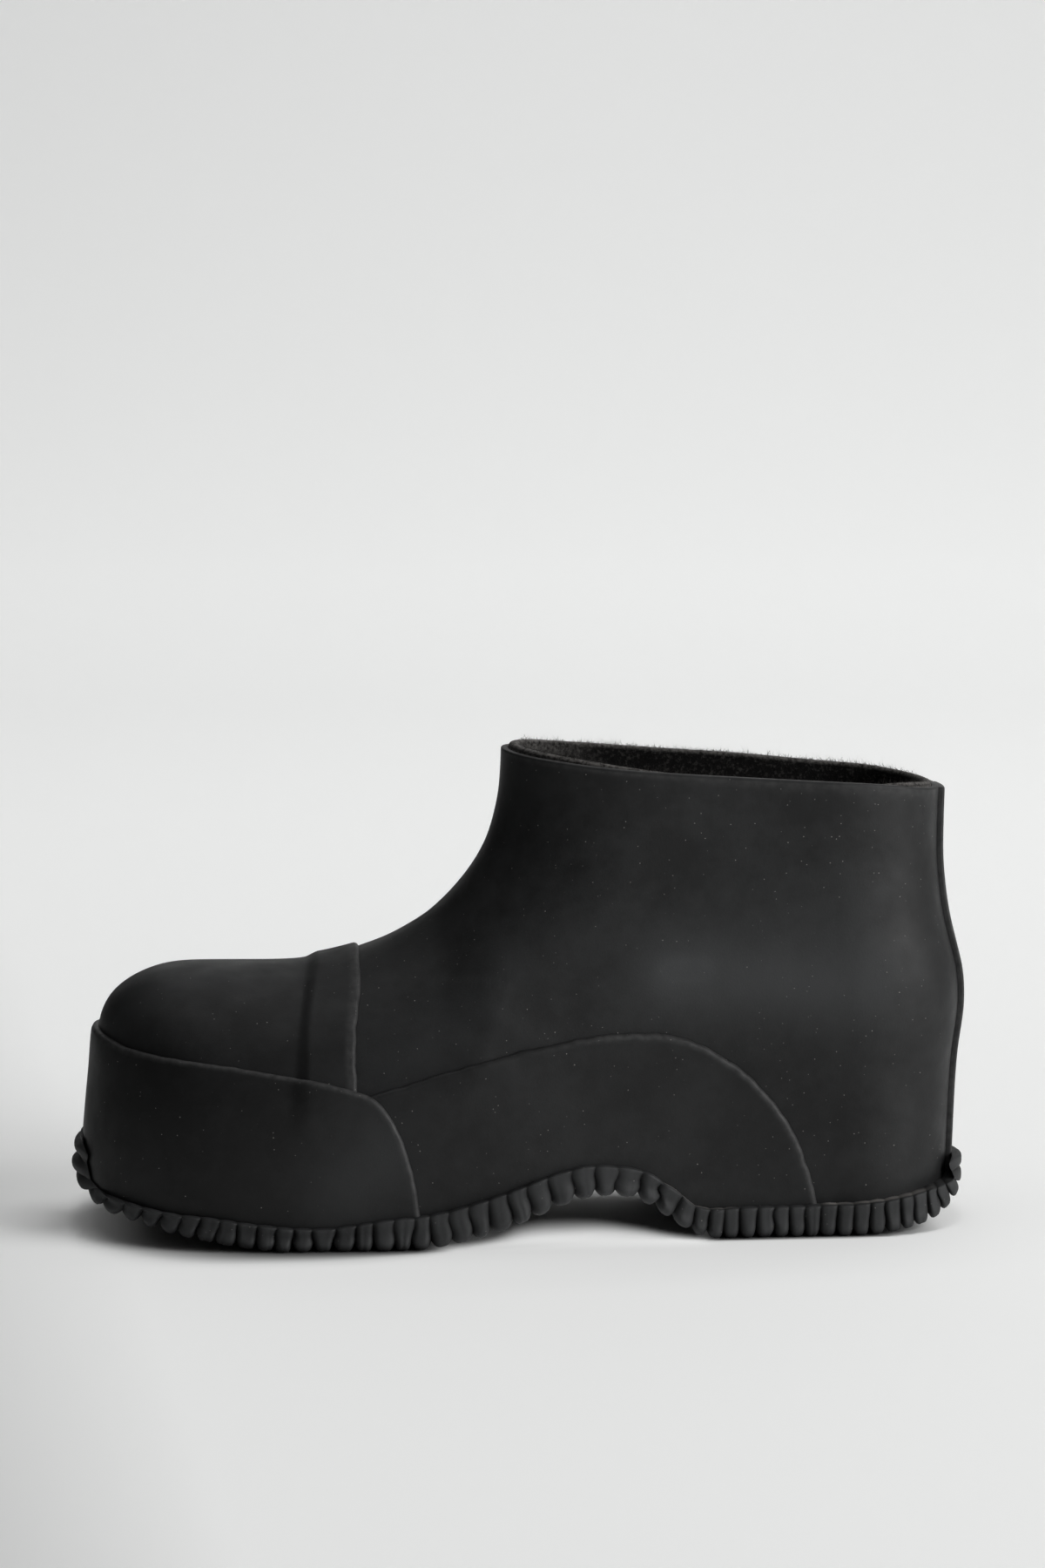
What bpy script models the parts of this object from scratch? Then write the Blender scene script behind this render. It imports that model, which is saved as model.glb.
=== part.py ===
"""Low rubber boot with a wrapped platform: upper, rubber overlays, insole and ribbed sole.

The boot stands on the floor with its toe toward -X, its outer side toward -Y and +Z up.
Sizes in the constants and tables are millimetres; meshes are made in metres.
"""
import math

import bmesh
import bpy
import numpy as np

MM = 0.001
WELD_METRES = 2e-6
SMOOTH_BELOW = math.radians(35.0)

# Thickness. A face is the distance from the upper's outer face to a piece's own outer face.
WALL = 3.0
INSOLE_THICK = 3.0
GUARD_FACE = 3.4
CAP_FACE = 1.3
BAND_FRONT_FACE = 2.7
BAND_REAR_FACE = 1.3
PANEL_FACE = 1.9
STAY_FACE = 1.9
SEAT_GAP = 0.3
PANEL_GAP_ALONG = 0.36
PANEL_GAP_UP = 0.06

# The upper's form: powers of its roundings, where the shaft's width takes over, and the toe's inward swing.
CORNER_POWER = 2.2
BLEND_POWER = 2.5
SHAFT_FROM = 40.0
SHAFT_TO = 125.0
TOE_SWING = 5.0
SWING_FROM = -20.0
SWING_OVER = 115.0

# The form's grid: how many columns and rows, and the side-view places where the spacing changes.
DOME_COLUMNS = 12
THROAT_COLUMNS = 8
SHAFT_COLUMNS = 12
ROWS = 10
TOP_CROWDING = 1.25
LOW_CROWDING = 1.7
RISE_CROWDING = 1.6
END_FADE = 1.0 / 3.0
TOE_FOOT_X = -134.7
HEEL_FOOT_X = 135.3
LIP_CORNER_Z = 64.5
VAMP_Z = 89.3
ARCH_FRONT_X = -32.0
COLLAR_FRONT_X = -5.7
COLLAR_BACK_X = 132.3

# Overlays: the band behind the toe cap, the strip over the back seam, and room for the cutting outlines.
BAND_FRONT_X = -68.0
BAND_REAR_X = -50.0
STAY_HALF_WIDTH = 8.0
STAY_FRONT_X = 100.0
LIP_END_X = -49.0
CAP_EDGE_STEPS = 9
LEAST_STEP = 1.0
PAST_TOE_X = -155.0
PAST_HEEL_X = 160.0
PAST_TOP_Z = 170.0
SIDE_REACH = 90.0
RELIEF_ROOM = 3.0

# The sole: its tips, the rounding of its plan at both ends, and the ribs of its rim.
SOLE_TIP_X = -141.6
SOLE_HEEL_X = 141.0
TIP_ROUND = 52.9
HEEL_ROUND = 41.6
RIM_CORNER = 3.5
RIB_DEPTH = 1.7
RIB_SHOULDER = 0.22
SHORT_RIB = 0.4
GROOVE_AT_TOP = 0.35
RING_SHARES = np.array([0.0, 0.13, 0.45, 1.0])
END_HALF_WIDTH = 6.0
END_WIDENING = 1.7
LEAST_HALF_WIDTH = 1.5
FILLING_DROP = 2.5
UNDER_ALL_Z = -20.0
EDGE_SHIFT_FROM = 105.0
EDGE_SHIFT_TO = 130.0
PATH_STEPS = 3001
CHORD_STEPS = 13
NEAR_ZERO = 1e-6

RUBBER = {"colour": (0.014, 0.014, 0.016, 1.0), "roughness": 0.6}
FELT = {"colour": (0.05, 0.05, 0.055, 1.0), "roughness": 0.95}


def table(columns, *rows):
    """Table with named columns and a row for each station."""
    return np.array(list(rows), dtype=[(name, float) for name in columns.split()])


# The ridge in side view: toe wall, toe dome and vamp, then throat and collar front.
TOE_RIDGE = (
    (-135.0, 8.0), (-134.6, 24.0), (-133.8, 40.0), (-132.7, 50.0), (-131.8, 57.5), (-130.8, 64.5),
    (-128.2, 70.2), (-122.7, 75.2), (-117.3, 78.0), (-110.6, 80.1), (-103.0, 80.8), (-92.0, 80.9),
    (-81.0, 81.0), (-70.0, 81.3), (-64.0, 82.3), (-58.0, 84.0), (-51.0, 86.4), (-43.0, 89.3), (-35.0, 93.5),
    (-26.7, 99.2),
)
RIDGE = table(
    "x z", *TOE_RIDGE,
    (-18.7, 107.4), (-13.4, 114.8), (-10.0, 121.7), (-8.0, 128.5), (-6.6, 135.4), (-6.0, 142.2),
    (-5.7, 150.0), (-5.5, 160.0),
)

# The ridge, but slanting on past the throat, so that the rounding down from it does not break there.
TOP_LINE = table(
    "x z", *TOE_RIDGE,
    (-22.0, 105.0), (-18.0, 112.0), (-14.0, 121.5), (-10.0, 134.0), (-6.0, 151.0), (-3.0, 165.0),
    (2.0, 190.0), (8.0, 222.0), (14.0, 255.0),
)

# The back seam in side view.
BACK = table(
    "z x",
    (8.0, 135.0), (25.0, 135.6), (39.0, 136.1), (53.0, 137.0), (61.0, 138.2), (69.0, 139.1), (77.0, 138.8),
    (85.0, 137.4), (95.0, 135.1), (106.0, 133.3), (117.0, 132.2), (127.0, 132.1), (136.0, 132.3),
    (152.0, 132.8),
)

# The collar's height along the boot.
COLLAR = table(
    "x z",
    (-6.0, 149.6), (5.0, 148.0), (28.0, 145.5), (56.0, 143.4), (84.0, 141.7), (112.0, 139.9), (131.0, 137.2),
    (140.0, 136.4),
)

# Half widths of the foot part at the sole, and how far the sole's rim stands out past them.
FOOT = table(
    "x outer inner rim",
    (-145.0, 46.0, 42.0, 6.9), (-100.0, 48.5, 43.0, 6.7), (-70.0, 49.5, 43.5, 6.5), (-45.0, 49.5, 43.0, 6.0),
    (-20.0, 48.5, 40.0, 5.4), (5.0, 44.5, 35.5, 5.2), (30.0, 40.5, 32.0, 5.2), (55.0, 37.5, 31.5, 5.2),
    (80.0, 36.0, 33.0, 5.2), (105.0, 35.5, 33.5, 5.3), (145.0, 35.0, 33.5, 5.6),
)

# Half width of the shaft by height: a little in at the ankle, out again at the collar.
SHAFT = table("z half", (0.0, 36.0), (60.0, 35.5), (85.0, 34.2), (110.0, 33.0), (130.0, 33.2), (152.0, 34.4))

# How far the ridge's rounding reaches down the sides, along the boot.
ROUND_DOWN = table(
    "x reach", (-135.0, 34.0), (-100.0, 38.0), (-70.0, 42.0), (-45.0, 48.0), (-20.0, 60.0), (10.0, 75.0),
)

# How far the rounding of the front and of the back reaches along the boot, by height.
ROUND_ALONG = table(
    "z front back",
    (0.0, 46.0, 36.0), (60.0, 47.0, 37.0), (85.0, 50.0, 38.0), (110.0, 47.0, 39.0), (155.0, 45.0, 40.0),
)

# The sole's under line in side view from the turned-up toe to the turned-up heel, with the rim's height,
# and how much the ribs follow the line's own slope.
SOLE_LINE = table(
    "x z rim lean",
    (-139.5, 28.0, 1.0, 1.0), (-140.9, 23.5, 2.2, 1.0), (-141.4, 19.0, 2.7, 1.0), (-140.4, 14.6, 3.3, 1.0),
    (-137.1, 11.3, 4.1, 1.0), (-132.1, 9.4, 4.7, 1.0), (-126.0, 8.2, 5.0, 1.0), (-118.0, 6.6, 5.4, 0.9),
    (-109.6, 4.9, 6.0, 0.8), (-101.0, 3.3, 7.0, 0.7), (-92.0, 1.7, 7.6, 0.6), (-83.0, 0.5, 7.6, 0.6),
    (-75.0, 0.0, 7.4, 0.6), (-65.0, 0.0, 7.1, 0.6), (-55.0, 0.0, 8.1, 0.6), (-45.0, 0.0, 9.2, 0.6),
    (-35.0, 0.0, 10.2, 0.6), (-25.0, 1.2, 10.6, 0.6), (-14.0, 3.4, 10.8, 0.6), (-4.0, 6.2, 10.8, 0.6),
    (5.0, 9.4, 10.6, 0.6), (13.0, 12.6, 10.0, 0.6), (20.0, 14.8, 9.2, 0.6), (27.0, 15.3, 8.6, 0.5),
    (34.5, 14.2, 8.4, 0.5), (42.0, 9.6, 8.0, 0.5), (49.0, 4.2, 8.0, 0.5), (55.0, 1.0, 8.5, 0.5),
    (60.0, 0.0, 9.2, 0.6), (80.0, 0.0, 9.6, 0.6), (104.0, 0.0, 10.0, 0.6), (113.0, 0.5, 10.2, 0.6),
    (121.0, 1.5, 10.2, 0.6), (128.0, 3.2, 9.6, 0.6), (134.0, 6.2, 7.6, 0.65), (138.6, 10.4, 5.0, 0.8),
    (140.8, 15.0, 3.4, 1.0), (141.0, 20.0, 3.2, 1.0),
)

# The spacing of the ribs along the boot.
RIBS = table(
    "x pitch", (-141.0, 5.9), (-90.0, 5.9), (-40.0, 6.2), (10.0, 6.7), (45.0, 6.4), (60.0, 5.2), (141.0, 4.9),
)

# Where the form's columns behind the arch stand on the lower edge, by their share of the way to the heel.
HEEL_COLUMNS = table("share x", (0.0, 26.0), (0.42, 58.0), (0.75, 106.0), (0.92, 130.0))

# The footbed's height along the boot.
FOOTBED = table(
    "x z",
    (-150.0, 41.5), (-110.0, 39.5), (-60.0, 38.5), (-20.0, 39.5), (10.0, 41.5), (40.0, 44.0), (75.0, 45.8),
    (105.0, 46.2), (150.0, 46.8),
)

# The toe guard's top lip and rear edge in side view.
GUARD_EDGE = table(
    "x z",
    (-150.0, 63.2), (-131.0, 61.9), (-122.5, 59.5), (-109.0, 57.6), (-96.0, 56.0), (-83.0, 54.2),
    (-72.0, 52.3), (-57.0, 49.5), (-50.5, 47.8), (-46.5, 45.4), (-43.5, 41.8), (-40.3, 36.0), (-37.6, 28.6),
    (-35.4, 19.0), (-32.8, 0.0),
)

# The toe cap's rear edge, and the front line of its raised band.
CAP_EDGE = table(
    "z x", (45.0, -53.0), (52.0, -53.3), (60.0, -53.4), (68.0, -52.7), (80.0, -51.1), (96.0, -50.0),
)
BAND_EDGE = table(
    "z x", (40.0, -70.2), (55.0, -69.6), (64.0, -69.0), (75.0, -66.9), (84.0, -64.2), (100.0, -63.0),
)

# The side panels' top edge in side view.
PANEL_EDGE = table(
    "x z",
    (-60.0, 44.6), (-46.5, 48.2), (-32.0, 52.3), (-19.0, 56.0), (-5.0, 59.5), (8.0, 62.0), (24.4, 64.3),
    (35.3, 64.7), (46.2, 63.2), (57.2, 58.7), (66.0, 52.8), (74.6, 44.4), (81.7, 34.8), (86.0, 25.2),
    (88.9, 16.6), (92.0, 0.0),
)


def cubic(knots, heights, at):
    """Monotone cubic through knots, straight past both ends."""
    at = np.asarray(at, dtype=float)
    steps = np.diff(knots)
    slopes = np.diff(heights) / steps
    same = slopes[:-1] * slopes[1:] > 0.0
    before = 2.0 * steps[1:] + steps[:-1]
    after = steps[1:] + 2.0 * steps[:-1]
    low = np.where(same, slopes[:-1], 1.0)
    high = np.where(same, slopes[1:], 1.0)
    tangents = np.concatenate([slopes[:1], np.zeros(len(knots) - 2), slopes[-1:]])
    tangents[1:-1] = np.where(same, (before + after) / (before / low + after / high), 0.0)
    cell = np.clip(np.searchsorted(knots, at) - 1, 0, len(steps) - 1)
    width = steps[cell]
    share = (at - knots[cell]) / width
    t = np.clip(share, 0.0, 1.0)
    past = (share - t) * width
    inside = (
        (1 + 2 * t) * (1 - t) ** 2 * heights[cell]
        + t * (1 - t) ** 2 * width * tangents[cell]
        + t * t * (3 - 2 * t) * heights[cell + 1]
        + t * t * (t - 1) * width * tangents[cell + 1]
    )
    return inside + past * np.where(past < 0, tangents[0], tangents[-1])


def curve(stations, key, value, at):
    """Smooth line through one column of a table, read against another."""
    return cubic(stations[key], stations[value], at)


def side_view(stations):
    """The rows of a table as (x, z) places."""
    return np.stack([stations["x"], stations["z"]], axis=1)


def ease(value, low, high):
    """Smooth step from 0 at low to 1 at high."""
    t = np.clip((value - low) / (high - low), 0.0, 1.0)
    return t * t * (3.0 - 2.0 * t)


def even_shares(count):
    """Shares from 0 to 1 in a number of even steps."""
    return np.linspace(0.0, 1.0, count + 1)


def running_length(x, z):
    """Length along a row of places from its first one."""
    return np.concatenate([[0.0], np.cumsum(np.hypot(np.diff(x), np.diff(z)))])


def round_off(reach):
    """Share of the full width at a share of the rounding's reach."""
    left = 1.0 - np.clip(reach, 0.0, 1.0)
    return (1.0 - left ** CORNER_POWER) ** (1.0 / CORNER_POWER)


def mid_line(x):
    """Sideways place of the ridge: the toe swings to the inner side."""
    return TOE_SWING * np.clip((SWING_FROM - x) / SWING_OVER, 0.0, 1.0) ** 2


def half_width(x, z, side):
    """Half width of the upper's outer face at a place in side view."""
    foot = curve(FOOT, "x", side, x)
    full = foot + (curve(SHAFT, "z", "half", z) - foot) * ease(z, SHAFT_FROM, SHAFT_TO)
    behind_front = np.maximum(x - curve(RIDGE, "z", "x", z), NEAR_ZERO)
    under_ridge = np.maximum(curve(TOP_LINE, "x", "z", x) - z, NEAR_ZERO)
    along = behind_front / curve(ROUND_ALONG, "z", "front", z)
    down = under_ridge / curve(ROUND_DOWN, "x", "reach", x)
    reach = (along ** -BLEND_POWER + down ** -BLEND_POWER) ** (-1.0 / BLEND_POWER)
    before_back = np.maximum(curve(BACK, "z", "x", z) - x, 0.0)
    return full * round_off(reach) * round_off(before_back / curve(ROUND_ALONG, "z", "back", z))


def rim_half_width(x, side):
    """Half width of the sole's rim."""
    full = curve(FOOT, "x", side, x) + curve(FOOT, "x", "rim", x)
    return full * round_off((x - SOLE_TIP_X) / TIP_ROUND) * round_off((SOLE_HEEL_X - x) / HEEL_ROUND)


def sole_path():
    """Places on the sole's under line at even steps, with the rim's height and its way up."""
    rows = np.arange(len(SOLE_LINE), dtype=float)
    fine = np.linspace(0.0, rows[-1], PATH_STEPS)
    run = running_length(cubic(rows, SOLE_LINE["x"], fine), cubic(rows, SOLE_LINE["z"], fine))
    names = ("run", "x", "z", "rim", "up_x", "up_z")
    path = np.zeros(PATH_STEPS, dtype=[(name, float) for name in names])
    path["run"] = np.linspace(0.0, run[-1], PATH_STEPS)
    place = np.interp(path["run"], run, fine)
    for name in ("x", "z", "rim"):
        path[name] = cubic(rows, SOLE_LINE[name], place)
    lean = cubic(rows, SOLE_LINE["lean"], place)
    up_x = -np.gradient(path["z"], path["run"]) * lean
    up_z = np.gradient(path["x"], path["run"]) * lean + 1.0 - lean
    size = np.hypot(up_x, up_z)
    path["up_x"], path["up_z"] = up_x / size, up_z / size
    return path


SOLE_PATH = sole_path()


def on_sole(name, run):
    """One column of the sole's path at a length along it."""
    return float(np.interp(run, SOLE_PATH["run"], SOLE_PATH[name]))


def seat_height(x):
    """Height of the sole's rim top along the boot, where the upper stands."""
    top_x = SOLE_PATH["x"] + SOLE_PATH["rim"] * SOLE_PATH["up_x"]
    top_z = SOLE_PATH["z"] + SOLE_PATH["rim"] * SOLE_PATH["up_z"]
    span = slice(int(np.argmin(top_x)), int(np.argmax(top_x)) + 1)
    return np.interp(x, np.maximum.accumulate(top_x[span]), top_z[span])


def lower_edge(x):
    """Height of the upper's lower edge: clear of the sole under the overlays too."""
    toward_toe = GUARD_FACE * ease(-x, EDGE_SHIFT_FROM, EDGE_SHIFT_TO)
    toward_heel = STAY_FACE * ease(x, EDGE_SHIFT_FROM, EDGE_SHIFT_TO)
    return np.maximum(seat_height(x), seat_height(x - toward_toe + toward_heel)) + SEAT_GAP


def clear_edge(x):
    """Heights of the lower edge at some places, lifted until straight lines between them clear the sole."""
    height = lower_edge(x)
    share = np.linspace(0.0, 1.0, CHORD_STEPS)[None, :]
    between = x[:-1, None] * (1 - share) + x[1:, None] * share
    chord = height[:-1, None] * (1 - share) + height[1:, None] * share
    short = np.max(lower_edge(between) - chord, axis=1)
    return height + np.maximum(np.append(short, 0.0), np.append(0.0, short))


def ridge_points(low_z, high_z, shares):
    """Places along the ridge between two heights, by shares of its length."""
    z = np.linspace(low_z, high_z, PATH_STEPS)
    run = running_length(curve(RIDGE, "z", "x", z), z)
    height = np.interp(shares * run[-1], run, z)
    return np.stack([curve(RIDGE, "z", "x", height), height], axis=1)


def top_edge():
    """Side-view places along the ridge and then the collar, from toe to heel."""
    front_z = curve(COLLAR, "x", "z", COLLAR_FRONT_X)
    back_z = curve(COLLAR, "x", "z", COLLAR_BACK_X)
    front_x = curve(RIDGE, "z", "x", front_z)
    back_x = curve(BACK, "z", "x", back_z)
    dome = ridge_points(LIP_CORNER_Z, VAMP_Z, even_shares(DOME_COLUMNS) ** TOP_CROWDING)
    throat = ridge_points(VAMP_Z, front_z, even_shares(THROAT_COLUMNS))
    swing = 0.5 - 0.5 * np.cos(np.pi * even_shares(SHAFT_COLUMNS))
    collar_x = front_x + (back_x - front_x) * swing
    collar = np.stack([collar_x, curve(COLLAR, "x", "z", collar_x)], axis=1)
    collar[-1] = (back_x, back_z)
    return np.concatenate([dome, throat[1:], collar[1:]])


def bottom_edge():
    """Side-view places along the upper's lower edge, from toe to heel."""
    toe_x = curve(RIDGE, "z", "x", lower_edge(TOE_FOOT_X))
    heel_x = curve(BACK, "z", "x", lower_edge(HEEL_FOOT_X))
    dome = toe_x + (ARCH_FRONT_X - toe_x) * even_shares(DOME_COLUMNS) ** LOW_CROWDING
    throat = np.linspace(ARCH_FRONT_X, HEEL_COLUMNS["x"][0], THROAT_COLUMNS + 1)
    shares = np.append(HEEL_COLUMNS["share"], 1.0)
    shaft = np.interp(even_shares(SHAFT_COLUMNS), shares, np.append(HEEL_COLUMNS["x"], heel_x))
    x = np.concatenate([dome, throat[1:], shaft[1:]])
    return np.stack([x, clear_edge(x)], axis=1)


def side_grid():
    """Grid of places in side view from the lower edge up to the ridge and collar."""
    top, low = top_edge(), bottom_edge()
    rise = 1.0 - (1.0 - even_shares(ROWS)) ** RISE_CROWDING
    ruled = low[:, None] + (top - low)[:, None] * rise[None, :, None]
    left_z, right_z = ruled[0, :, 1], ruled[-1, :, 1]
    left = np.stack([curve(RIDGE, "z", "x", left_z), left_z], axis=1)
    right = np.stack([curve(BACK, "z", "x", right_z), right_z], axis=1)
    share = np.linspace(0.0, 1.0, len(top))[:, None, None]
    fade_left = np.clip(1.0 - share / END_FADE, 0.0, 1.0) ** 2
    fade_right = np.clip(1.0 - (1.0 - share) / END_FADE, 0.0, 1.0) ** 2
    return ruled + fade_left * (left - ruled[0]) + fade_right * (right - ruled[-1])


class Form:
    """Outer form of the upper as one sheet, both sides joined along the ridge and the back seam."""

    def __init__(self):
        grid = side_grid()
        x, z = grid[..., 0], grid[..., 1]
        self.collar_start = DOME_COLUMNS + THROAT_COLUMNS
        on_seam = np.zeros(x.shape, dtype=bool)
        on_seam[[0, -1], :] = True
        on_seam[: self.collar_start + 1, -1] = True
        free = ~on_seam
        outer = np.where(on_seam, 0.0, half_width(x, z, "outer"))
        inner = np.where(on_seam, 0.0, half_width(x, z, "inner"))
        near = np.stack([x, mid_line(x) - outer, z], axis=-1)
        far = np.stack([x, mid_line(x) + inner, z], axis=-1)
        self.near = np.arange(x.size).reshape(x.shape)
        self.far = self.near.copy()
        self.far[free] = x.size + np.arange(np.count_nonzero(free))
        self.points = np.concatenate([near.reshape(-1, 3), far[free]])
        self.faces = self.sheet(self.near) + [face[::-1] for face in self.sheet(self.far)]
        self.normals = self.vertex_normals()

    def sheet(self, index):
        """Triangles over a grid of points."""
        a, b = index[:-1, :-1].ravel(), index[1:, :-1].ravel()
        c, d = index[1:, 1:].ravel(), index[:-1, 1:].ravel()
        faces = np.concatenate([np.stack([a, b, d], axis=1), np.stack([b, c, d], axis=1)])
        return [tuple(face) for face in faces.tolist()]

    def vertex_normals(self):
        """Outward normals, level along the collar and the lower edge."""
        faces = np.array(self.faces)
        corner = self.points[faces]
        across = np.cross(corner[:, 1] - corner[:, 0], corner[:, 2] - corner[:, 0])
        total = np.zeros(self.points.shape)
        for place in range(3):
            np.add.at(total, faces[:, place], across)
        for loop in self.rims():
            total[loop, 2] = 0.0
        return total / np.linalg.norm(total, axis=1, keepdims=True)

    def rims(self):
        """The open loops at the lower edge and at the collar, each as one closed list."""
        start = self.collar_start
        low = list(self.near[:, 0]) + list(self.far[-2:0:-1, 0])
        collar = list(self.near[start:, -1]) + list(self.far[-2:start:-1, -1])
        return low, collar

    def skin(self, inner_face, outer_face):
        """Closed shell between two distances from the form; the outer one may differ from point to point."""
        count = len(self.points)
        outer = np.broadcast_to(outer_face, (count,))[:, None]
        points = np.concatenate([self.points + self.normals * outer, self.points + self.normals * inner_face])
        faces = self.faces + [tuple(count + i for i in reversed(face)) for face in self.faces]
        low, collar = self.rims()
        faces += wall(low, [count + i for i in low])
        faces += wall([count + i for i in collar], collar)
        return points, faces

    def filling(self, face):
        """Closed filling inside a distance from the form, reaching a little below its lower edge."""
        points = self.points + self.normals * face
        low, collar = self.rims()
        under = [len(points) + i for i in range(len(low))]
        points = np.concatenate([points, points[low] - np.array([0.0, 0.0, FILLING_DROP])])
        lid = [triangle[::-1] for triangle in ladder(under)]
        return points, self.faces + wall(low, under) + lid + ladder(collar)


def wall(top, under):
    """Four-sided faces between two closed loops."""
    return [
        (b, a, c, d)
        for a, b, c, d in zip(top, top[1:] + top[:1], under, under[1:] + under[:1])
    ]


def ladder(loop):
    """Triangles across a closed loop whose two sides run from its first point to its middle one."""
    left, right = 1, len(loop) - 1
    faces = [(loop[0], loop[left], loop[right])]
    while right - left > 2:
        faces.append((loop[left], loop[left + 1], loop[right]))
        faces.append((loop[left + 1], loop[right - 1], loop[right]))
        left += 1
        right -= 1
    if right - left == 2:
        faces.append((loop[left], loop[left + 1], loop[right]))
    return faces


def prism(outline, low_y=-SIDE_REACH, high_y=SIDE_REACH):
    """Closed prism of a side-view outline between two sideways places."""
    count = len(outline)
    near = np.insert(outline, 1, low_y, axis=1)
    far = np.insert(outline, 1, high_y, axis=1)
    near_loop = list(range(count))
    far_loop = list(range(count, 2 * count))
    faces = [tuple(near_loop), tuple(reversed(far_loop))] + wall(near_loop, far_loop)
    return np.concatenate([near, far]), faces


def new_object(name, points, faces):
    """Object from millimetre points, with every face split into triangles."""
    mesh = bpy.data.meshes.new(name)
    mesh.from_pydata((points * MM).tolist(), [], faces)
    body = bpy.data.objects.new(name, mesh)
    bpy.context.scene.collection.objects.link(body)
    tidy(body)
    return body


def tidy(body):
    """Joins doubled points, drops empty faces, splits into triangles and turns faces outward."""
    work = bmesh.new()
    work.from_mesh(body.data)
    bmesh.ops.remove_doubles(work, verts=work.verts, dist=WELD_METRES)
    bmesh.ops.dissolve_degenerate(work, edges=work.edges, dist=WELD_METRES)
    bmesh.ops.triangulate(work, faces=work.faces)
    bmesh.ops.recalc_face_normals(work, faces=work.faces)
    work.to_mesh(body.data)
    work.free()


def combine(body, other, operation):
    """Joins, cuts or keeps the common part of two closed bodies, and removes the second."""
    step = body.modifiers.new("step", "BOOLEAN")
    step.operation = operation
    step.solver = "EXACT"
    step.object = other
    result = bpy.data.meshes.new_from_object(body.evaluated_get(bpy.context.evaluated_depsgraph_get()))
    body.modifiers.clear()
    old = body.data
    body.data = result
    bpy.data.meshes.remove(old)
    bpy.data.objects.remove(other)
    tidy(body)
    return body


def cut_from(form, name, outer_face, outline, low_y=-SIDE_REACH, high_y=SIDE_REACH):
    """Overlay cut by a side-view outline from a shell that lies just clear of the form."""
    body = new_object(name, *form.skin(SEAT_GAP, outer_face))
    return combine(body, new_object("outline", *prism(outline, low_y, high_y)), "INTERSECT")


def guard_outline():
    """Side-view outline of the toe guard."""
    return np.concatenate([side_view(GUARD_EDGE), [[GUARD_EDGE["x"][0], 0.0]]])


def cap_outline():
    """Side-view outline of the toe cap, above the guard's lip."""
    lip = GUARD_EDGE[GUARD_EDGE["x"] < LIP_END_X]
    heights = np.linspace(CAP_EDGE["z"][0], CAP_EDGE["z"][-1], CAP_EDGE_STEPS)
    back_edge = np.stack([curve(CAP_EDGE, "z", "x", heights), heights], axis=1)
    lip_under = np.interp(back_edge[:, 0], lip["x"], lip["z"]) + SEAT_GAP
    back_edge = back_edge[heights > lip_under + LEAST_STEP]
    end_x = back_edge[0, 0]
    low_x = np.append(lip["x"][lip["x"] < end_x - LEAST_STEP], end_x)
    low = np.stack([low_x, np.interp(low_x, lip["x"], lip["z"]) + SEAT_GAP], axis=1)
    return np.concatenate([low, back_edge, [[low[0, 0], heights[-1]]]])


def relief_outline():
    """Side-view outline of the part of the toe cap in front of its raised band."""
    heights = np.linspace(BAND_EDGE["z"][0], BAND_EDGE["z"][-1], CAP_EDGE_STEPS)
    edge = np.stack([curve(BAND_EDGE, "z", "x", heights), heights], axis=1)
    return np.concatenate([[[PAST_TOE_X, heights[0]]], edge, [[PAST_TOE_X, heights[-1]]]])


def panel_outline():
    """Side-view outline of a side panel, behind the toe guard's rear edge."""
    rear = side_view(GUARD_EDGE[GUARD_EDGE["x"] > LIP_END_X])[::-1] + (PANEL_GAP_ALONG, PANEL_GAP_UP)
    top_z = np.interp(rear[:, 0], PANEL_EDGE["x"], PANEL_EDGE["z"])
    rear = rear[rear[:, 1] < top_z - LEAST_STEP]
    corner_x = rear[-1, 0]
    corner = [[corner_x, np.interp(corner_x, PANEL_EDGE["x"], PANEL_EDGE["z"])]]
    return np.concatenate([rear, corner, side_view(PANEL_EDGE[PANEL_EDGE["x"] > corner_x + LEAST_STEP])])


def stay_outline():
    """Side-view outline around the back seam."""
    return np.array([
        (STAY_FRONT_X, 0.0), (PAST_HEEL_X, 0.0), (PAST_HEEL_X, PAST_TOP_Z), (STAY_FRONT_X, PAST_TOP_Z),
    ])


def platform_outline():
    """Side-view outline of all that lies under the footbed."""
    line = side_view(FOOTBED)
    return np.concatenate([line, [[line[-1, 0], UNDER_ALL_Z], [line[0, 0], UNDER_ALL_Z]]])


def insole_outline():
    """Side-view outline of the sheet on the footbed."""
    line = side_view(FOOTBED) + (0.0, SEAT_GAP)
    return np.concatenate([line, line[::-1] + (0.0, INSOLE_THICK)])


def rib_stations():
    """Lengths along the sole's line, each with 1 for a groove and 0 for an edge of a rib's flat crest."""
    end = SOLE_PATH["run"][-1]
    run, places = 0.0, [(0.0, 1.0)]
    while run < end:
        pitch = float(np.interp(on_sole("x", run), RIBS["x"], RIBS["pitch"]))
        if run + (1.0 + SHORT_RIB) * pitch > end:
            pitch = end - run
        places.append((run + RIB_SHOULDER * pitch, 0.0))
        places.append((run + (1.0 - RIB_SHOULDER) * pitch, 0.0))
        run += pitch
        places.append((run, 1.0))
    return places


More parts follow.
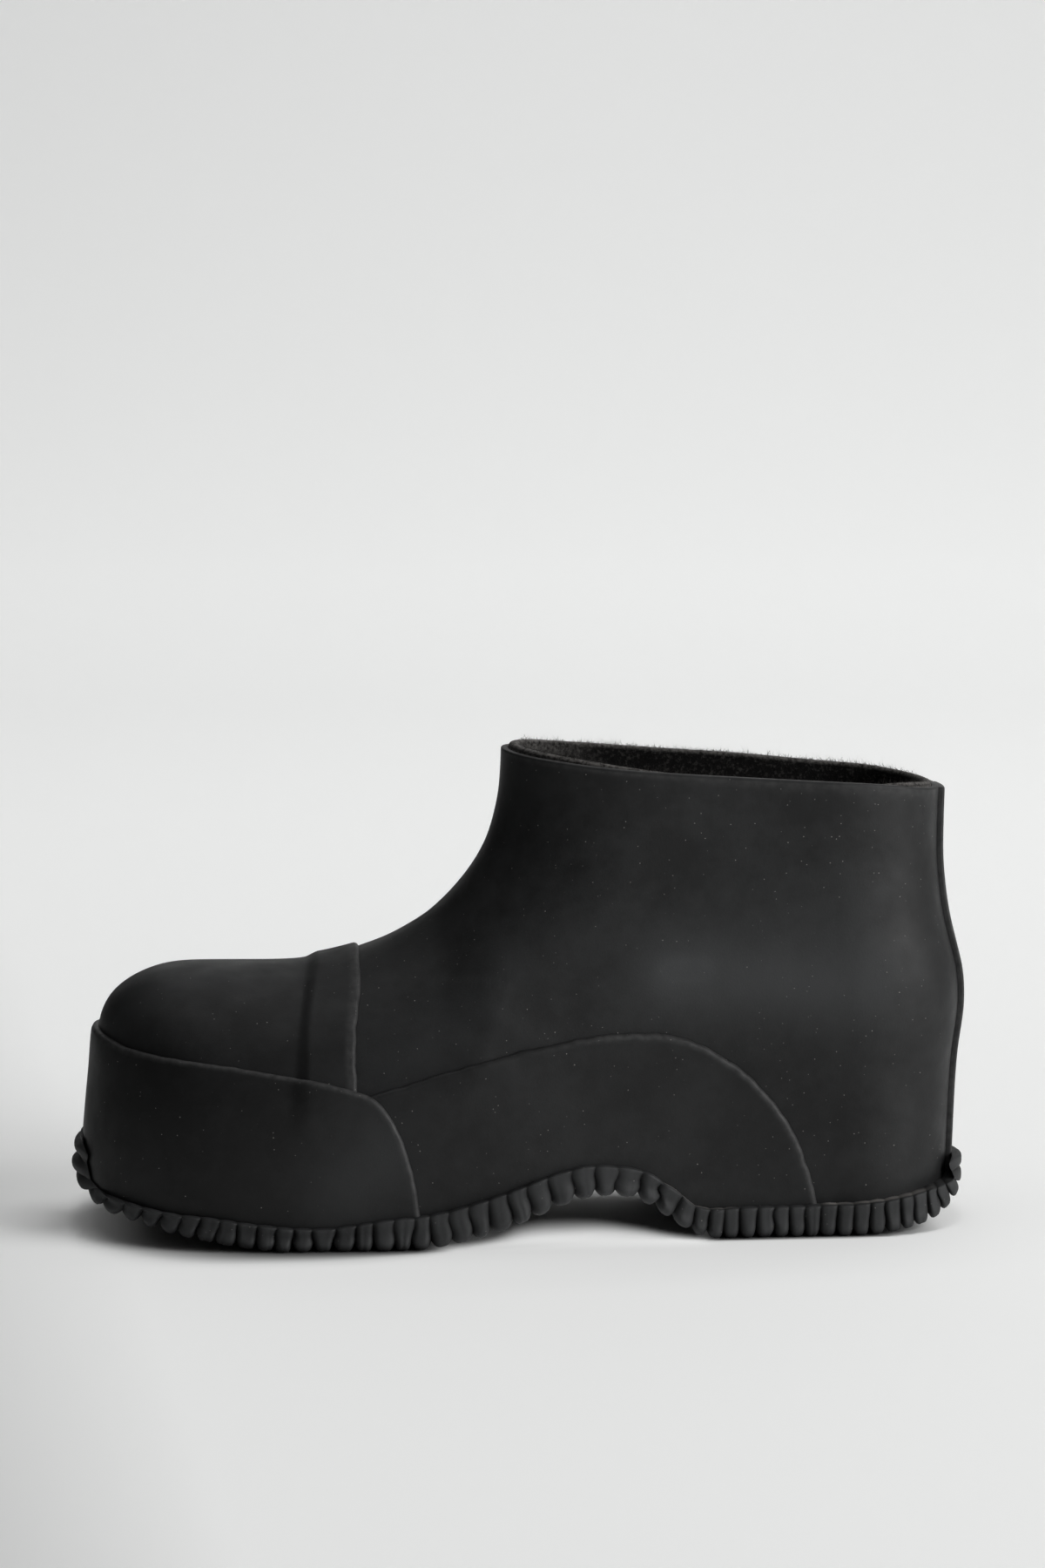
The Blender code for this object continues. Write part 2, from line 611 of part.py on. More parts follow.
def rib_ring(run, groove):
    """One ring across the sole: a flat under side, round lower corners and upright edges."""
    x, z, rim, up_x, up_z = (on_sole(name, run) for name in ("x", "z", "rim", "up_x", "up_z"))
    depth = RIB_DEPTH * groove
    rise = RING_SHARES * rim
    corner = 1.0 - np.clip(rise / RIM_CORNER, 0.0, 1.0)
    round_in = RIM_CORNER * (1.0 - np.sqrt(1.0 - corner ** 2))
    lift = rise + depth * (1.0 - RING_SHARES)
    cut_in = depth * (1.0 - (1.0 - GROOVE_AT_TOP) * RING_SHARES)
    from_end = min(run, SOLE_PATH["run"][-1] - run)
    at_x = x + rise * up_x
    edges = []
    for side, sign in (("outer", -1.0), ("inner", 1.0)):
        wide = np.minimum(rim_half_width(at_x, side), END_HALF_WIDTH + END_WIDENING * from_end + rise)
        wide = np.maximum(wide - np.minimum(round_in, 0.5 * wide) - cut_in, LEAST_HALF_WIDTH)
        edges.append(np.stack([x + lift * up_x, mid_line(at_x) + sign * wide, z + lift * up_z], axis=1))
    return np.concatenate([edges[0][::-1], edges[1]])


def ribbed_sheet():
    """The ribbed sheet of the sole: rings across the boot from the toe to the heel."""
    rings = [rib_ring(run, groove) for run, groove in rib_stations()]
    size = len(rings[0])
    loops = [list(range(size * i, size * (i + 1))) for i in range(len(rings))]
    faces = [tuple(loops[0]), tuple(reversed(loops[-1]))]
    for first, second in zip(loops, loops[1:]):
        faces += wall(first, second)
    return np.concatenate(rings), faces


def make_pieces():
    """Every piece of the boot on the form's own axes, by name."""
    form = Form()
    pieces = [new_object("upper", *form.skin(-WALL, 0.0))]
    platform = new_object("outsole", *form.filling(-WALL - SEAT_GAP))
    platform = combine(platform, new_object("block", *prism(platform_outline())), "INTERSECT")
    pieces.append(combine(platform, new_object("sheet", *ribbed_sheet()), "UNION"))
    insole = new_object("insole", *form.filling(-WALL - 2.0 * SEAT_GAP))
    pieces.append(combine(insole, new_object("block", *prism(insole_outline())), "INTERSECT"))
    pieces.append(cut_from(form, "toe_guard", GUARD_FACE, guard_outline()))
    band = np.interp(form.points[:, 0], [BAND_FRONT_X, BAND_REAR_X], [BAND_FRONT_FACE, BAND_REAR_FACE])
    cap = cut_from(form, "toe_cap", band, cap_outline())
    relief = new_object("relief", *form.skin(CAP_FACE, BAND_FRONT_FACE + RELIEF_ROOM))
    relief = combine(relief, new_object("outline", *prism(relief_outline())), "INTERSECT")
    pieces.append(combine(cap, relief, "DIFFERENCE"))
    pieces.append(cut_from(form, "side_panel_outer", PANEL_FACE, panel_outline(), high_y=0.0))
    pieces.append(cut_from(form, "side_panel_inner", PANEL_FACE, panel_outline(), low_y=0.0))
    pieces.append(cut_from(form, "backstay", STAY_FACE, stay_outline(), -STAY_HALF_WIDTH, STAY_HALF_WIDTH))
    return pieces


def material(name, colour, roughness):
    """Plain Principled material."""
    made = bpy.data.materials.new(name)
    made.use_nodes = True
    shader = made.node_tree.nodes["Principled BSDF"]
    shader.inputs["Base Color"].default_value = colour
    shader.inputs["Roughness"].default_value = roughness
    return made


def build():
    """Builds every piece, dresses it and stands the boot on the floor about the middle of its box."""
    for old in list(bpy.data.objects):
        bpy.data.objects.remove(old)
    pieces = make_pieces()
    home = bpy.data.collections.new("low_rubber_boot")
    bpy.context.scene.collection.children.link(home)
    corners = np.array([point.co for piece in pieces for point in piece.data.vertices])
    low, high = corners.min(axis=0), corners.max(axis=0)
    for piece in pieces:
        bpy.context.scene.collection.objects.unlink(piece)
        home.objects.link(piece)
        piece.location = (-0.5 * (low[0] + high[0]), -0.5 * (low[1] + high[1]), -low[2])
        piece.data.shade_smooth()
        piece.data.set_sharp_from_angle(angle=SMOOTH_BELOW)
        piece.data.materials.clear()
        piece.data.materials.append(material(piece.name, **(FELT if piece.name == "insole" else RUBBER)))


build()
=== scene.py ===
"""Looks of a low rubber boot: laid rubber sheets over a felt lining, on a ribbed wrapped sole.

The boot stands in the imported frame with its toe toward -X, its outer side toward -Y and +Z up. Sizes here are
millimetres on the last's own axes; each mesh is moved into the frame and scaled to metres when it is made.
"""
from __future__ import annotations

import logging
import math
from collections.abc import Callable
from dataclasses import dataclass
from enum import Enum
from functools import cached_property

import bpy
import numpy as np
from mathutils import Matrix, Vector


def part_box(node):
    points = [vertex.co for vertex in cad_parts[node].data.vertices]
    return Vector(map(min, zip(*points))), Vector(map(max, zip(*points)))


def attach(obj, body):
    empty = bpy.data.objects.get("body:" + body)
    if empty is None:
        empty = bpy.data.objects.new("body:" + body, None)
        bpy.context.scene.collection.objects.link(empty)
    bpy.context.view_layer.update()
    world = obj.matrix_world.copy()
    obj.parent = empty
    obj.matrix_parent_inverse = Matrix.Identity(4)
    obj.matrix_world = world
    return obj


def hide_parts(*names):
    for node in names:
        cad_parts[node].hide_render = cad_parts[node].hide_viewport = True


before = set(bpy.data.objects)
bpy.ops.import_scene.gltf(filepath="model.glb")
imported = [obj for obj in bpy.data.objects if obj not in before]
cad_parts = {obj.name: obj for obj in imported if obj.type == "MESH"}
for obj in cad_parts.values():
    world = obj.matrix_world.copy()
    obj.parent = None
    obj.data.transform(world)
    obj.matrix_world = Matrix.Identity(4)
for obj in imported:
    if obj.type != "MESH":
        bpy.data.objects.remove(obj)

LOG = logging.getLogger("boot")
Array = np.ndarray
Span = tuple[float, float]
Triple = tuple[float, float, float]
Stretch = tuple[float, float, float, float]
Colour = tuple[float, float, float, float]
Chance = np.random.Generator
Socket = bpy.types.NodeSocket
MM = 0.001
FINE_STEP = 0.2
PAST_ENDS = 80.0
CROSSING_STEPS = 200
BELL_REACH = 3.0
LEAST_GAP = 1e-6
LEAST_LENGTH = 1e-12
WELD = 0.0005
SHARP_ANGLE = 58.0
FORM_SOFTNESS = 8.0
SEED = 41


class Side(Enum):
    """The two sides of the boot, with the sign of their Y."""

    OUTER = -1.0
    INNER = 1.0


class Edge(Enum):
    """The four edges of a side-view patch."""

    LOW = "low"
    TOP = "top"
    LEFT = "left"
    RIGHT = "right"


BOTH_SIDES = (Side.OUTER, Side.INNER)
OUTER_ONLY = (Side.OUTER,)


def ease(value: Array, low: float, high: float) -> Array:
    """Smooth step from 0 at low to 1 at high: t * t * (3 - 2t)."""
    share = np.clip((value - low) / (high - low), 0.0, 1.0)
    return share * share * (3.0 - 2.0 * share)


def plateau(value: Array, start: float, full: float, fall: float, end: float) -> Array:
    """Smooth step up from start to full and down again from fall to end."""
    return ease(value, start, full) * (1.0 - ease(value, fall, end))


def bell(distance: Array, spread: float | Array) -> Array:
    """Bell curve, 1 at no distance: exp of minus the squared share of the spread."""
    return np.exp(-((distance / spread) ** 2))


def part_way(start: Array | float, end: Array | float, share: Array) -> Array:
    """Even run from start to end by a share from 0 to 1."""
    return start + (end - start) * share


def pairs(first: Array, second: Array) -> Array:
    """Two arrays side by side, as pairs along a new last axis."""
    return np.stack([first, second], axis=-1)


def quarter_round(distance: Array, radius: float) -> Array:
    """Drop of a quarter-round edge: r * (1 - sqrt(1 - a * a)), where a falls from 1 on the edge to 0 at r."""
    left = np.clip(1.0 - distance / radius, 0.0, 1.0)
    return radius * (1.0 - np.sqrt(1.0 - left ** 2))


def rounded_off(left: Array, power: float) -> Array:
    """Share of the width that a rounding leaves: (1 - a ** p) ** (1 / p), where a is the share left to go."""
    return (1.0 - left ** power) ** (1.0 / power)


def crossing(gap: Callable[[Array], Array], span: Span) -> float:
    """Place in a span at which a rising gap is 0."""
    places = np.linspace(*span, CROSSING_STEPS)
    return float(np.interp(0.0, gap(places), places))


def cubic_through(knots: Array, heights: Array, at: Array) -> Array:
    """Monotone cubic through knots, straight past both ends.

    The slope at a knot is the weighted harmonic mean of its chords' slopes, or 0 where their signs differ.

    Args:
        knots: Rising places of the knots.
        heights: Values at the knots.
        at: Places to read.

    Returns:
        The values at those places.
    """
    steps = np.diff(knots)
    slopes = np.diff(heights) / steps
    same = slopes[:-1] * slopes[1:] > 0.0
    before = 2.0 * steps[1:] + steps[:-1]
    after = steps[1:] + 2.0 * steps[:-1]
    low = np.where(same, slopes[:-1], 1.0)
    high = np.where(same, slopes[1:], 1.0)
    tangents = np.concatenate([slopes[:1], np.zeros(len(knots) - 2), slopes[-1:]])
    tangents[1:-1] = np.where(same, (before + after) / (before / low + after / high), 0.0)
    cell = np.clip(np.searchsorted(knots, at) - 1, 0, len(steps) - 1)
    width = steps[cell]
    share = (at - knots[cell]) / width
    t = np.clip(share, 0.0, 1.0)
    past = (share - t) * width
    inside = (
        (1 + 2 * t) * (1 - t) ** 2 * heights[cell]
        + t * (1 - t) ** 2 * width * tangents[cell]
        + t * t * (3 - 2 * t) * heights[cell + 1]
        + t * t * (t - 1) * width * tangents[cell + 1]
    )
    return inside + past * np.where(past < 0, tangents[0], tangents[-1])


def bell_average(values: Array, spread: float) -> Array:
    """Running average with bell-shaped weights; past the ends the values are mirrored through the end point.

    Args:
        values: Evenly spaced samples.
        spread: Standard width of the bell, in samples.

    Returns:
        As many averaged samples.
    """
    reach = int(math.ceil(BELL_REACH * spread))
    weights = np.exp(-0.5 * (np.arange(-reach, reach + 1) / spread) ** 2)
    head = 2.0 * values[0] - values[reach:0:-1]
    tail = 2.0 * values[-1] - values[-2:-reach - 2:-1]
    return np.convolve(np.concatenate([head, values, tail]), weights / weights.sum(), mode="valid")


def run_along(points: Array) -> Array:
    """Length along a row of points from its first one: the running sum of the chords."""
    chords = np.linalg.norm(np.diff(points, axis=0), axis=-1)
    return np.concatenate([[0.0], np.cumsum(chords)])


# Short waves of a line cut by hand. Columns: length over two pi, phase.
WAVER = ((0.93, 0.0), (1.37, 1.9), (2.3, 0.4), (4.1, 0.0))


@dataclass(frozen=True)
class Outline:
    """A smooth line through a few given stations, as pairs of (first, second).

    Both columns are monotone cubics of the chord length, then softened by a bell average so that light runs
    over the form with no jump at a station.
    """

    stations: tuple[Span, ...]
    softness: float = 2.0
    wobble: float = 0.0

    @cached_property
    def fine(self) -> Array:
        """Closely spaced points of the line, straight for a while past both ends.

        A line cut by hand wavers across its run: wobble times the mean of a few short waves of unlike length.

        Returns:
            Pairs of (first, second).
        """
        rows = np.array(self.stations, dtype=float)
        chord = run_along(rows)
        run = np.arange(-PAST_ENDS, chord[-1] + PAST_ENDS, FINE_STEP)
        spread = self.softness / FINE_STEP
        line = pairs(*(bell_average(cubic_through(chord, rows[:, k], run), spread) for k in (0, 1)))
        way = np.gradient(line, axis=0)
        across = pairs(-way[:, 1], way[:, 0]) / np.linalg.norm(way, axis=1, keepdims=True)
        waver = sum(np.sin(run / length + phase) for length, phase in WAVER)
        return line + across * (self.wobble / len(WAVER) * waver)[:, None]

    def second(self, first: Array) -> Array:
        """The second column where the first has a given value."""
        return np.interp(first, self.fine[:, 0], self.fine[:, 1])

    def first(self, second: Array) -> Array:
        """The first column where the second, which rises, has a given value."""
        return np.interp(second, self.fine[:, 1], self.fine[:, 0])

    def between(self, start: float, end: float, shares: Array, column: int = 0) -> Array:
        """Points from one value of a column to another, by shares of the length between them.

        Args:
            start: Value of the column at share 0.
            end: Value of the column at share 1.
            shares: Shares of the length.
            column: 0 or 1, the column that start and end are read in.

        Returns:
            Pairs of (first, second).
        """
        run = run_along(self.fine)
        at = part_way(*np.interp([start, end], self.fine[:, column], run), shares)
        return pairs(*(np.interp(at, run, self.fine[:, k]) for k in (0, 1)))


def table_column(table: tuple[tuple[float, ...], ...], index: int) -> Outline:
    """One column of a table against its first column."""
    return Outline(tuple((row[0], row[index]) for row in table), FORM_SOFTNESS)


# Columns: x, half width of the outer side, of the inner side, and how far the sole's rim stands out.
FOOT = (
    (-145.0, 46.0, 42.0, 6.9), (-100.0, 48.5, 43.0, 6.7), (-70.0, 49.5, 43.5, 6.5), (-45.0, 49.5, 43.0, 6.0),
    (-20.0, 48.5, 40.0, 5.4), (5.0, 44.5, 35.5, 5.2), (30.0, 40.5, 32.0, 5.2), (55.0, 37.5, 31.5, 5.2),
    (80.0, 36.0, 33.0, 5.2), (105.0, 35.5, 33.5, 5.3), (145.0, 35.0, 33.5, 5.6),
)
# Columns: z, reach of the rounding at the front, and at the back.
ROUND_ALONG = (
    (0.0, 46.0, 36.0), (60.0, 47.0, 37.0), (85.0, 50.0, 38.0), (110.0, 47.0, 39.0), (155.0, 45.0, 40.0),
)
# Columns: x, z, the rim's height, and how much the ribs follow the line's own slope.
SOLE_LINE = (
    (-139.5, 28.0, 1.0, 1.0), (-140.9, 23.5, 2.2, 1.0), (-141.4, 19.0, 2.7, 1.0), (-140.4, 14.6, 3.3, 1.0),
    (-137.1, 11.3, 4.1, 1.0), (-132.1, 9.4, 4.7, 1.0), (-126.0, 8.2, 5.0, 1.0), (-118.0, 6.6, 5.4, 0.9),
    (-109.6, 4.9, 6.0, 0.8), (-101.0, 3.3, 7.0, 0.7), (-92.0, 1.7, 7.6, 0.6), (-83.0, 0.5, 7.6, 0.6),
    (-75.0, 0.0, 7.4, 0.6), (-65.0, 0.0, 7.1, 0.6), (-55.0, 0.0, 8.1, 0.6), (-45.0, 0.0, 9.2, 0.6),
    (-35.0, 0.0, 10.2, 0.6), (-25.0, 1.2, 10.6, 0.6), (-15.0, 3.4, 10.8, 0.6), (-5.4, 6.2, 10.8, 0.6),
    (3.4, 9.4, 10.6, 0.6), (11.4, 12.4, 10.2, 0.6), (18.4, 14.1, 9.8, 0.6), (25.4, 14.5, 9.3, 0.5),
    (33.0, 13.3, 9.0, 0.5), (40.6, 9.1, 8.4, 0.5), (47.6, 4.0, 8.2, 0.5), (54.0, 1.0, 8.6, 0.5),
    (59.5, 0.0, 9.2, 0.6), (80.0, 0.0, 9.6, 0.6), (104.0, 0.0, 10.0, 0.6), (113.0, 0.5, 10.2, 0.6),
    (121.0, 1.5, 10.2, 0.6), (128.0, 3.2, 9.6, 0.6), (134.0, 6.2, 7.6, 0.65), (138.6, 10.4, 5.0, 0.8),
    (140.8, 15.0, 3.4, 1.0), (141.0, 20.0, 3.2, 1.0),
)
# The ridge from the toe up the throat to the collar, in three stretches. Columns: x, z.
TOE_FRONT = (
    (-135.0, 8.0), (-134.6, 24.0), (-133.3, 40.0), (-132.3, 50.0), (-131.8, 57.5), (-130.8, 64.5),
    (-128.2, 70.2), (-122.7, 75.2), (-117.3, 78.0),
)
TOE_TOP = (
    (-110.6, 80.1), (-103.0, 80.9), (-92.0, 81.0), (-81.0, 81.0), (-70.0, 81.3), (-64.0, 82.3),
    (-58.0, 84.0), (-51.0, 86.4), (-43.0, 89.3), (-35.0, 93.5),
)
SHAFT_FRONT = (
    (-26.7, 99.2), (-18.7, 107.4), (-13.4, 114.8), (-10.0, 121.7), (-8.0, 128.5), (-6.6, 135.4),
    (-6.0, 142.2), (-5.7, 150.0), (-5.5, 160.0),
)
RIDGE = Outline(TOE_FRONT + TOE_TOP + SHAFT_FRONT, 2.2)
# The ridge, but slanting on past the throat, so that the rounding does not break where it turns upright.
TOP_LINE = Outline(TOE_FRONT + TOE_TOP + (
    (-26.7, 99.2), (-22.0, 105.0), (-18.0, 112.0), (-14.0, 121.5), (-10.0, 134.0), (-6.0, 151.0),
    (-3.0, 165.0), (2.0, 190.0), (8.0, 222.0), (14.0, 255.0),
), 2.2)
# The back seam. Columns: z, x.
BACK = Outline((
    (8.0, 135.0), (25.0, 135.6), (39.0, 136.1), (53.0, 137.0), (61.0, 138.2), (69.0, 139.1), (77.0, 138.8),
    (85.0, 137.0), (95.0, 134.5), (106.0, 132.8), (117.0, 132.0), (127.0, 132.1), (136.0, 132.3),
    (152.0, 132.8),
), 3.0)
# The collar's cut, the footbed, the guard's lip with its rear edge, and the panel's top edge. Columns: x, z.
COLLAR = Outline((
    (-6.0, 149.6), (5.0, 148.0), (28.0, 145.5), (56.0, 143.4), (84.0, 141.7), (112.0, 139.9), (131.0, 137.2),
    (140.0, 136.4),
), 4.0)
COLLAR_ENDS = (-5.7, 132.3)
FOOTBED = Outline((
    (-150.0, 41.5), (-110.0, 39.5), (-60.0, 38.5), (-20.0, 39.5), (10.0, 41.5), (40.0, 44.0), (75.0, 45.8),
    (105.0, 46.2), (150.0, 46.8),
), 6.0)
GUARD_EDGE = Outline((
    (-150.0, 63.2), (-131.0, 61.9), (-122.5, 59.5), (-109.0, 57.6), (-96.0, 56.0), (-83.0, 54.2),
    (-72.0, 52.3), (-57.0, 49.5), (-50.5, 47.8), (-46.5, 45.4), (-43.5, 41.8), (-40.3, 36.0),
    (-37.6, 28.6), (-35.4, 19.0), (-32.8, 0.0),
), 1.2, 0.16)
LIP_HEIGHTS = (58.0, 68.0)
PANEL_EDGE = Outline((
    (-60.0, 44.6), (-46.5, 48.2), (-32.0, 52.3), (-19.0, 56.0), (-5.0, 59.5), (8.0, 62.0), (24.4, 64.3),
    (35.3, 64.7), (46.2, 63.2), (57.2, 58.7), (66.0, 52.8), (74.6, 44.4), (81.7, 34.8), (86.0, 25.2),
    (88.9, 16.6), (92.0, 0.0),
), 2.0, 0.3)
# The cap's rear edge and the front of its band. Columns: z, x.
CAP_EDGE = Outline((
    (45.0, -53.0), (52.0, -53.3), (60.0, -53.4), (68.0, -52.7), (80.0, -51.1), (96.0, -50.0),
), 2.0, 0.35)
BAND_EDGE = Outline((
    (45.0, -70.0), (55.0, -69.6), (64.0, -69.0), (75.0, -66.9), (84.0, -64.2), (96.0, -63.2),
))
# Half width of the shaft. Columns: z, half width.
SHAFT = Outline((
    (0.0, 36.0), (60.0, 35.5), (85.0, 34.2), (110.0, 33.0), (130.0, 33.2), (152.0, 34.4),
), FORM_SOFTNESS)
# Reach of the rounding down from the ridge. Columns: x, reach.
ROUND_DOWN = Outline((
    (-135.0, 34.0), (-100.0, 38.0), (-70.0, 42.0), (-45.0, 48.0), (-20.0, 60.0), (10.0, 75.0),
), FORM_SOFTNESS)
# Length of a rib, and the power that squares it off. Columns: x, value.
RIB_PITCH = Outline((
    (-141.0, 5.9), (-90.0, 5.9), (-40.0, 6.2), (10.0, 6.7), (45.0, 6.4), (60.0, 5.2), (141.0, 4.9),
), 3.0)
RIB_SQUARENESS = Outline((
    (-141.0, 2.2), (-118.0, 2.2), (-98.0, 4.2), (-50.0, 3.8), (-30.0, 3.0), (40.0, 2.7), (60.0, 3.6),
    (141.0, 3.8),
), 3.0)
# How far the sole's painted shadow and its painted dark core reach out over the floor. Columns: x, reach.
SHADE_REACH = Outline((
    (-141.0, 34.0), (-100.0, 26.0), (-60.0, 22.0), (-40.0, 14.0), (-25.0, 6.0), (0.0, 5.0), (60.0, 4.0),
    (141.0, 2.5),
), 3.0)
CONTACT_REACH = Outline((
    (-141.0, 6.0), (-120.0, 11.0), (-105.0, 15.0), (-86.0, 17.0), (-68.0, 15.0), (-48.0, 9.0), (-30.0, 3.0),
    (60.0, 2.0), (141.0, 1.0),
), 3.0)
# Front of the painted deep shadow under the arch, and half the width of its soft edge. Columns: x, value.
ARCH_SHADE = Outline((
    (-30.0, -48.0), (-19.0, -44.5), (-9.5, -38.0), (0.1, -24.0), (7.3, -19.5), (21.7, -17.5), (36.1, -25.5),
    (43.3, -32.5), (50.5, -38.0), (58.0, -43.0),
))
ARCH_SOFT = Outline((
    (-30.0, 6.0), (-12.0, 7.0), (0.0, 17.0), (8.0, 18.0), (22.0, 15.0), (36.0, 10.5), (43.0, 7.5),
    (58.0, 6.0),
))
# Long waves of a sheet laid by hand. Columns: length along, length up, phase by side, phase.
LONG_WAVES = ((9.1, 13.7, 1.0, 0.0), (15.3, -8.3, 2.1, 0.0), (23.9, 21.1, 0.0, 0.7))


@dataclass(frozen=True)
class Crease:
    """A soft mark along a straight run in side view: a trough, a ridge if below 0, or a patch of tone."""

    start: Span
    end: Span
    depth: float
    width: float
    sides: tuple[Side, ...] = BOTH_SIDES

    def depth_at(self, x: Array, z: Array) -> Array:
        """Depth of the mark: a bell of the distance to the run.

        Args:
            x: Places along the boot.
            z: Heights.

        Returns:
            How far the surface sinks there, or how strong the patch is.
        """
        start, way = np.array(self.start), np.subtract(self.end, self.start)
        share = ((x - start[0]) * way[0] + (z - start[1]) * way[1]) / float(way @ way)
        share = np.clip(share, 0.0, 1.0)
        away = np.hypot(x - start[0] - share * way[0], z - start[1] - share * way[1])
        return self.depth * bell(away, self.width)


def marks_at(marks: tuple[Crease, ...], x: Array, z: Array, side: Side) -> Array:
    """Sum of the marks that lie on a side."""
    return sum(mark.depth_at(x, z) for mark in marks if side in mark.sides)


@dataclass(frozen=True)
class Last:
    """The boot's outer form: a half width over every place in side view, on each side of a mid line.

    Half width = full width * front share * back share. A share is the rounding 1 - (1 - q) ** p to the power
    1 / p, where q is the distance from the ridge or the back as a share of the rounding's reach, and p is the
    corner power. In front, the distances along and down are joined by the blend power.
    """

    corner_power: float = 2.2
    blend_power: float = 2.5
    toe_swing: float = 5.0
    swing_from: float = -20.0
    swing_over: float = 115.0
    shaft_span: Span = (40.0, 125.0)
    foot: tuple[Outline, Outline] = (table_column(FOOT, 1), table_column(FOOT, 2))
    round_front: Outline = table_column(ROUND_ALONG, 1)
    round_back: Outline = table_column(ROUND_ALONG, 2)
    unevenness: float = 0.10
    seam_blend: float = 14.0
    probe: float = 0.05
    nudge: float = 0.06
    creases: tuple[Crease, ...] = (
        Crease((95.0, 37.4), (107.5, 38.4), 0.45, 1.1, OUTER_ONLY),
        Crease((96.0, 40.6), (106.0, 41.0), -0.15, 1.8, OUTER_ONLY),
        Crease((-21.0, 69.0), (-4.0, 57.5), 0.22, 3.2, OUTER_ONLY),
        Crease((-14.0, 73.0), (1.0, 63.0), -0.14, 3.0, OUTER_ONLY),
        Crease((-51.2, 52.0), (-46.8, 50.4), 0.6, 1.0, OUTER_ONLY),
        Crease((-30.0, 84.0), (-9.0, 98.0), 0.30, 5.0),
        Crease((-20.0, 72.0), (4.0, 90.0), 0.16, 4.2, (Side.INNER,)),
        Crease((44.0, 116.0), (70.0, 108.0), 0.20, 6.0),
        Crease((104.0, 92.0), (128.0, 97.0), 0.18, 4.6),
        Crease((64.0, 78.0), (92.0, 70.0), -0.16, 6.0),
    )

    def mid_line(self, x: Array) -> Array:
        """Sideways place of the ridge: the toe swings to the inner side with the square of the distance."""
        return self.toe_swing * np.clip((self.swing_from - x) / self.swing_over, 0.0, 1.0) ** 2

    def full_width(self, x: Array, z: Array, side: Side) -> Array:
        """Half width clear of all roundings: the foot's width eased into the shaft's with height."""
        foot = self.foot[BOTH_SIDES.index(side)].second(x)
        return part_way(foot, SHAFT.second(z), ease(z, *self.shaft_span))

    def share(self, x: Array, z: Array) -> Array:
        """Product of the front and the back rounding, each to the corner power: 0 on the ridge, 1 inside.

        Args:
            x: Places along the boot.
            z: Heights.

        Returns:
            The share at each place.
        """
        along = np.maximum(x - RIDGE.first(z), LEAST_GAP) / self.round_front.second(z)
        down = np.maximum(TOP_LINE.second(x) - z, LEAST_GAP) / ROUND_DOWN.second(x)
        front = (along ** -self.blend_power + down ** -self.blend_power) ** (-1.0 / self.blend_power)
        back = np.maximum(BACK.second(z) - x, 0.0) / self.round_back.second(z)
        front, back = (1.0 - (1.0 - np.minimum(near, 1.0)) ** self.corner_power for near in (front, back))
        return front * back

    def half_width(self, x: Array, z: Array, side: Side) -> Array:
        """Half width of the outer face at places in side view."""
        return self.full_width(x, z, side) * self.share(x, z) ** (1.0 / self.corner_power)

    def normals(self, x: Array, z: Array, half: Array, side: Side) -> Array:
        """Outward unit normals: the gradient of (half / full) ** p - share, by central differences.

        Args:
            x: Places along the boot.
            z: Heights.
            half: Half widths there.
            side: Side of the boot.

        Returns:
            Unit vectors, one for each place.
        """
        power, reach = self.corner_power, self.probe
        x_in = np.clip(x, RIDGE.first(z) + self.nudge, BACK.second(z) - self.nudge)
        z_in = np.minimum(z, RIDGE.second(x_in) - self.nudge)
        full = self.full_width(x, z, side)
        share_slope, full_slope = [], []
        for step_x, step_z in ((reach, 0.0), (0.0, reach)):
            ahead = (x_in + step_x, z_in + step_z)
            behind = (x_in - step_x, z_in - step_z)
            share_slope.append((self.share(*ahead) - self.share(*behind)) / (2.0 * reach))
            widening = self.full_width(*ahead, side) - self.full_width(*behind, side)
            full_slope.append(widening / (2.0 * reach))
        level = (half / full) ** power
        out = power * half ** (power - 1.0) / full ** power
        swing = (self.mid_line(x + reach) - self.mid_line(x - reach)) / (2.0 * reach)
        slope_x = -power * level / full * full_slope[0] - share_slope[0] - side.value * swing * out
        slope_z = -power * level / full * full_slope[1] - share_slope[1]
        normal = np.stack([slope_x, side.value * out, slope_z], axis=-1)
        return normal / np.maximum(np.linalg.norm(normal, axis=-1, keepdims=True), LEAST_LENGTH)

    def ripple(self, x: Array, z: Array, side: Side) -> Array:
        """Unevenness of sheets laid by hand: the mean of some long waves, less the troughs of the creases.

        Args:
            x: Places along the boot.
            z: Heights.
            side: Side of the boot.

        Returns:
            Lifts off the even form.
        """
        waves = 0.0
        for along, up, by_side, phase in LONG_WAVES:
            waves = waves + np.sin(x / along + z / up + by_side * side.value + phase)
        return self.unevenness * waves / len(LONG_WAVES) - marks_at(self.creases, x, z, side)

    def surface(
        self, x: Array, z: Array, side: Side, lift: Array | float = 0.0, seam: Array | None = None,
    ) -> Array:
        """Points of a face at some lift off the form, along its normals.

        Args:
            x: Places along the boot.
            z: Heights.
            side: Side of the boot.
            lift: Distance from the form, outward.
            seam: True where the place lies on the ridge or the back seam.

        Returns:
            Points, one for each place.
        """
        half = self.half_width(x, z, side)
        uneven = self.ripple(x, z, side)
        if seam is not None:
            half = np.where(seam, 0.0, half)
            mean = 0.5 * sum(self.ripple(x, z, each) for each in BOTH_SIDES)
            uneven = part_way(mean, uneven, ease(half, 0.0, self.seam_blend))
        form = np.stack([x, self.mid_line(x) + side.value * half, z], axis=-1)
        return form + self.normals(x, z, half, side) * (lift + uneven)[..., None]


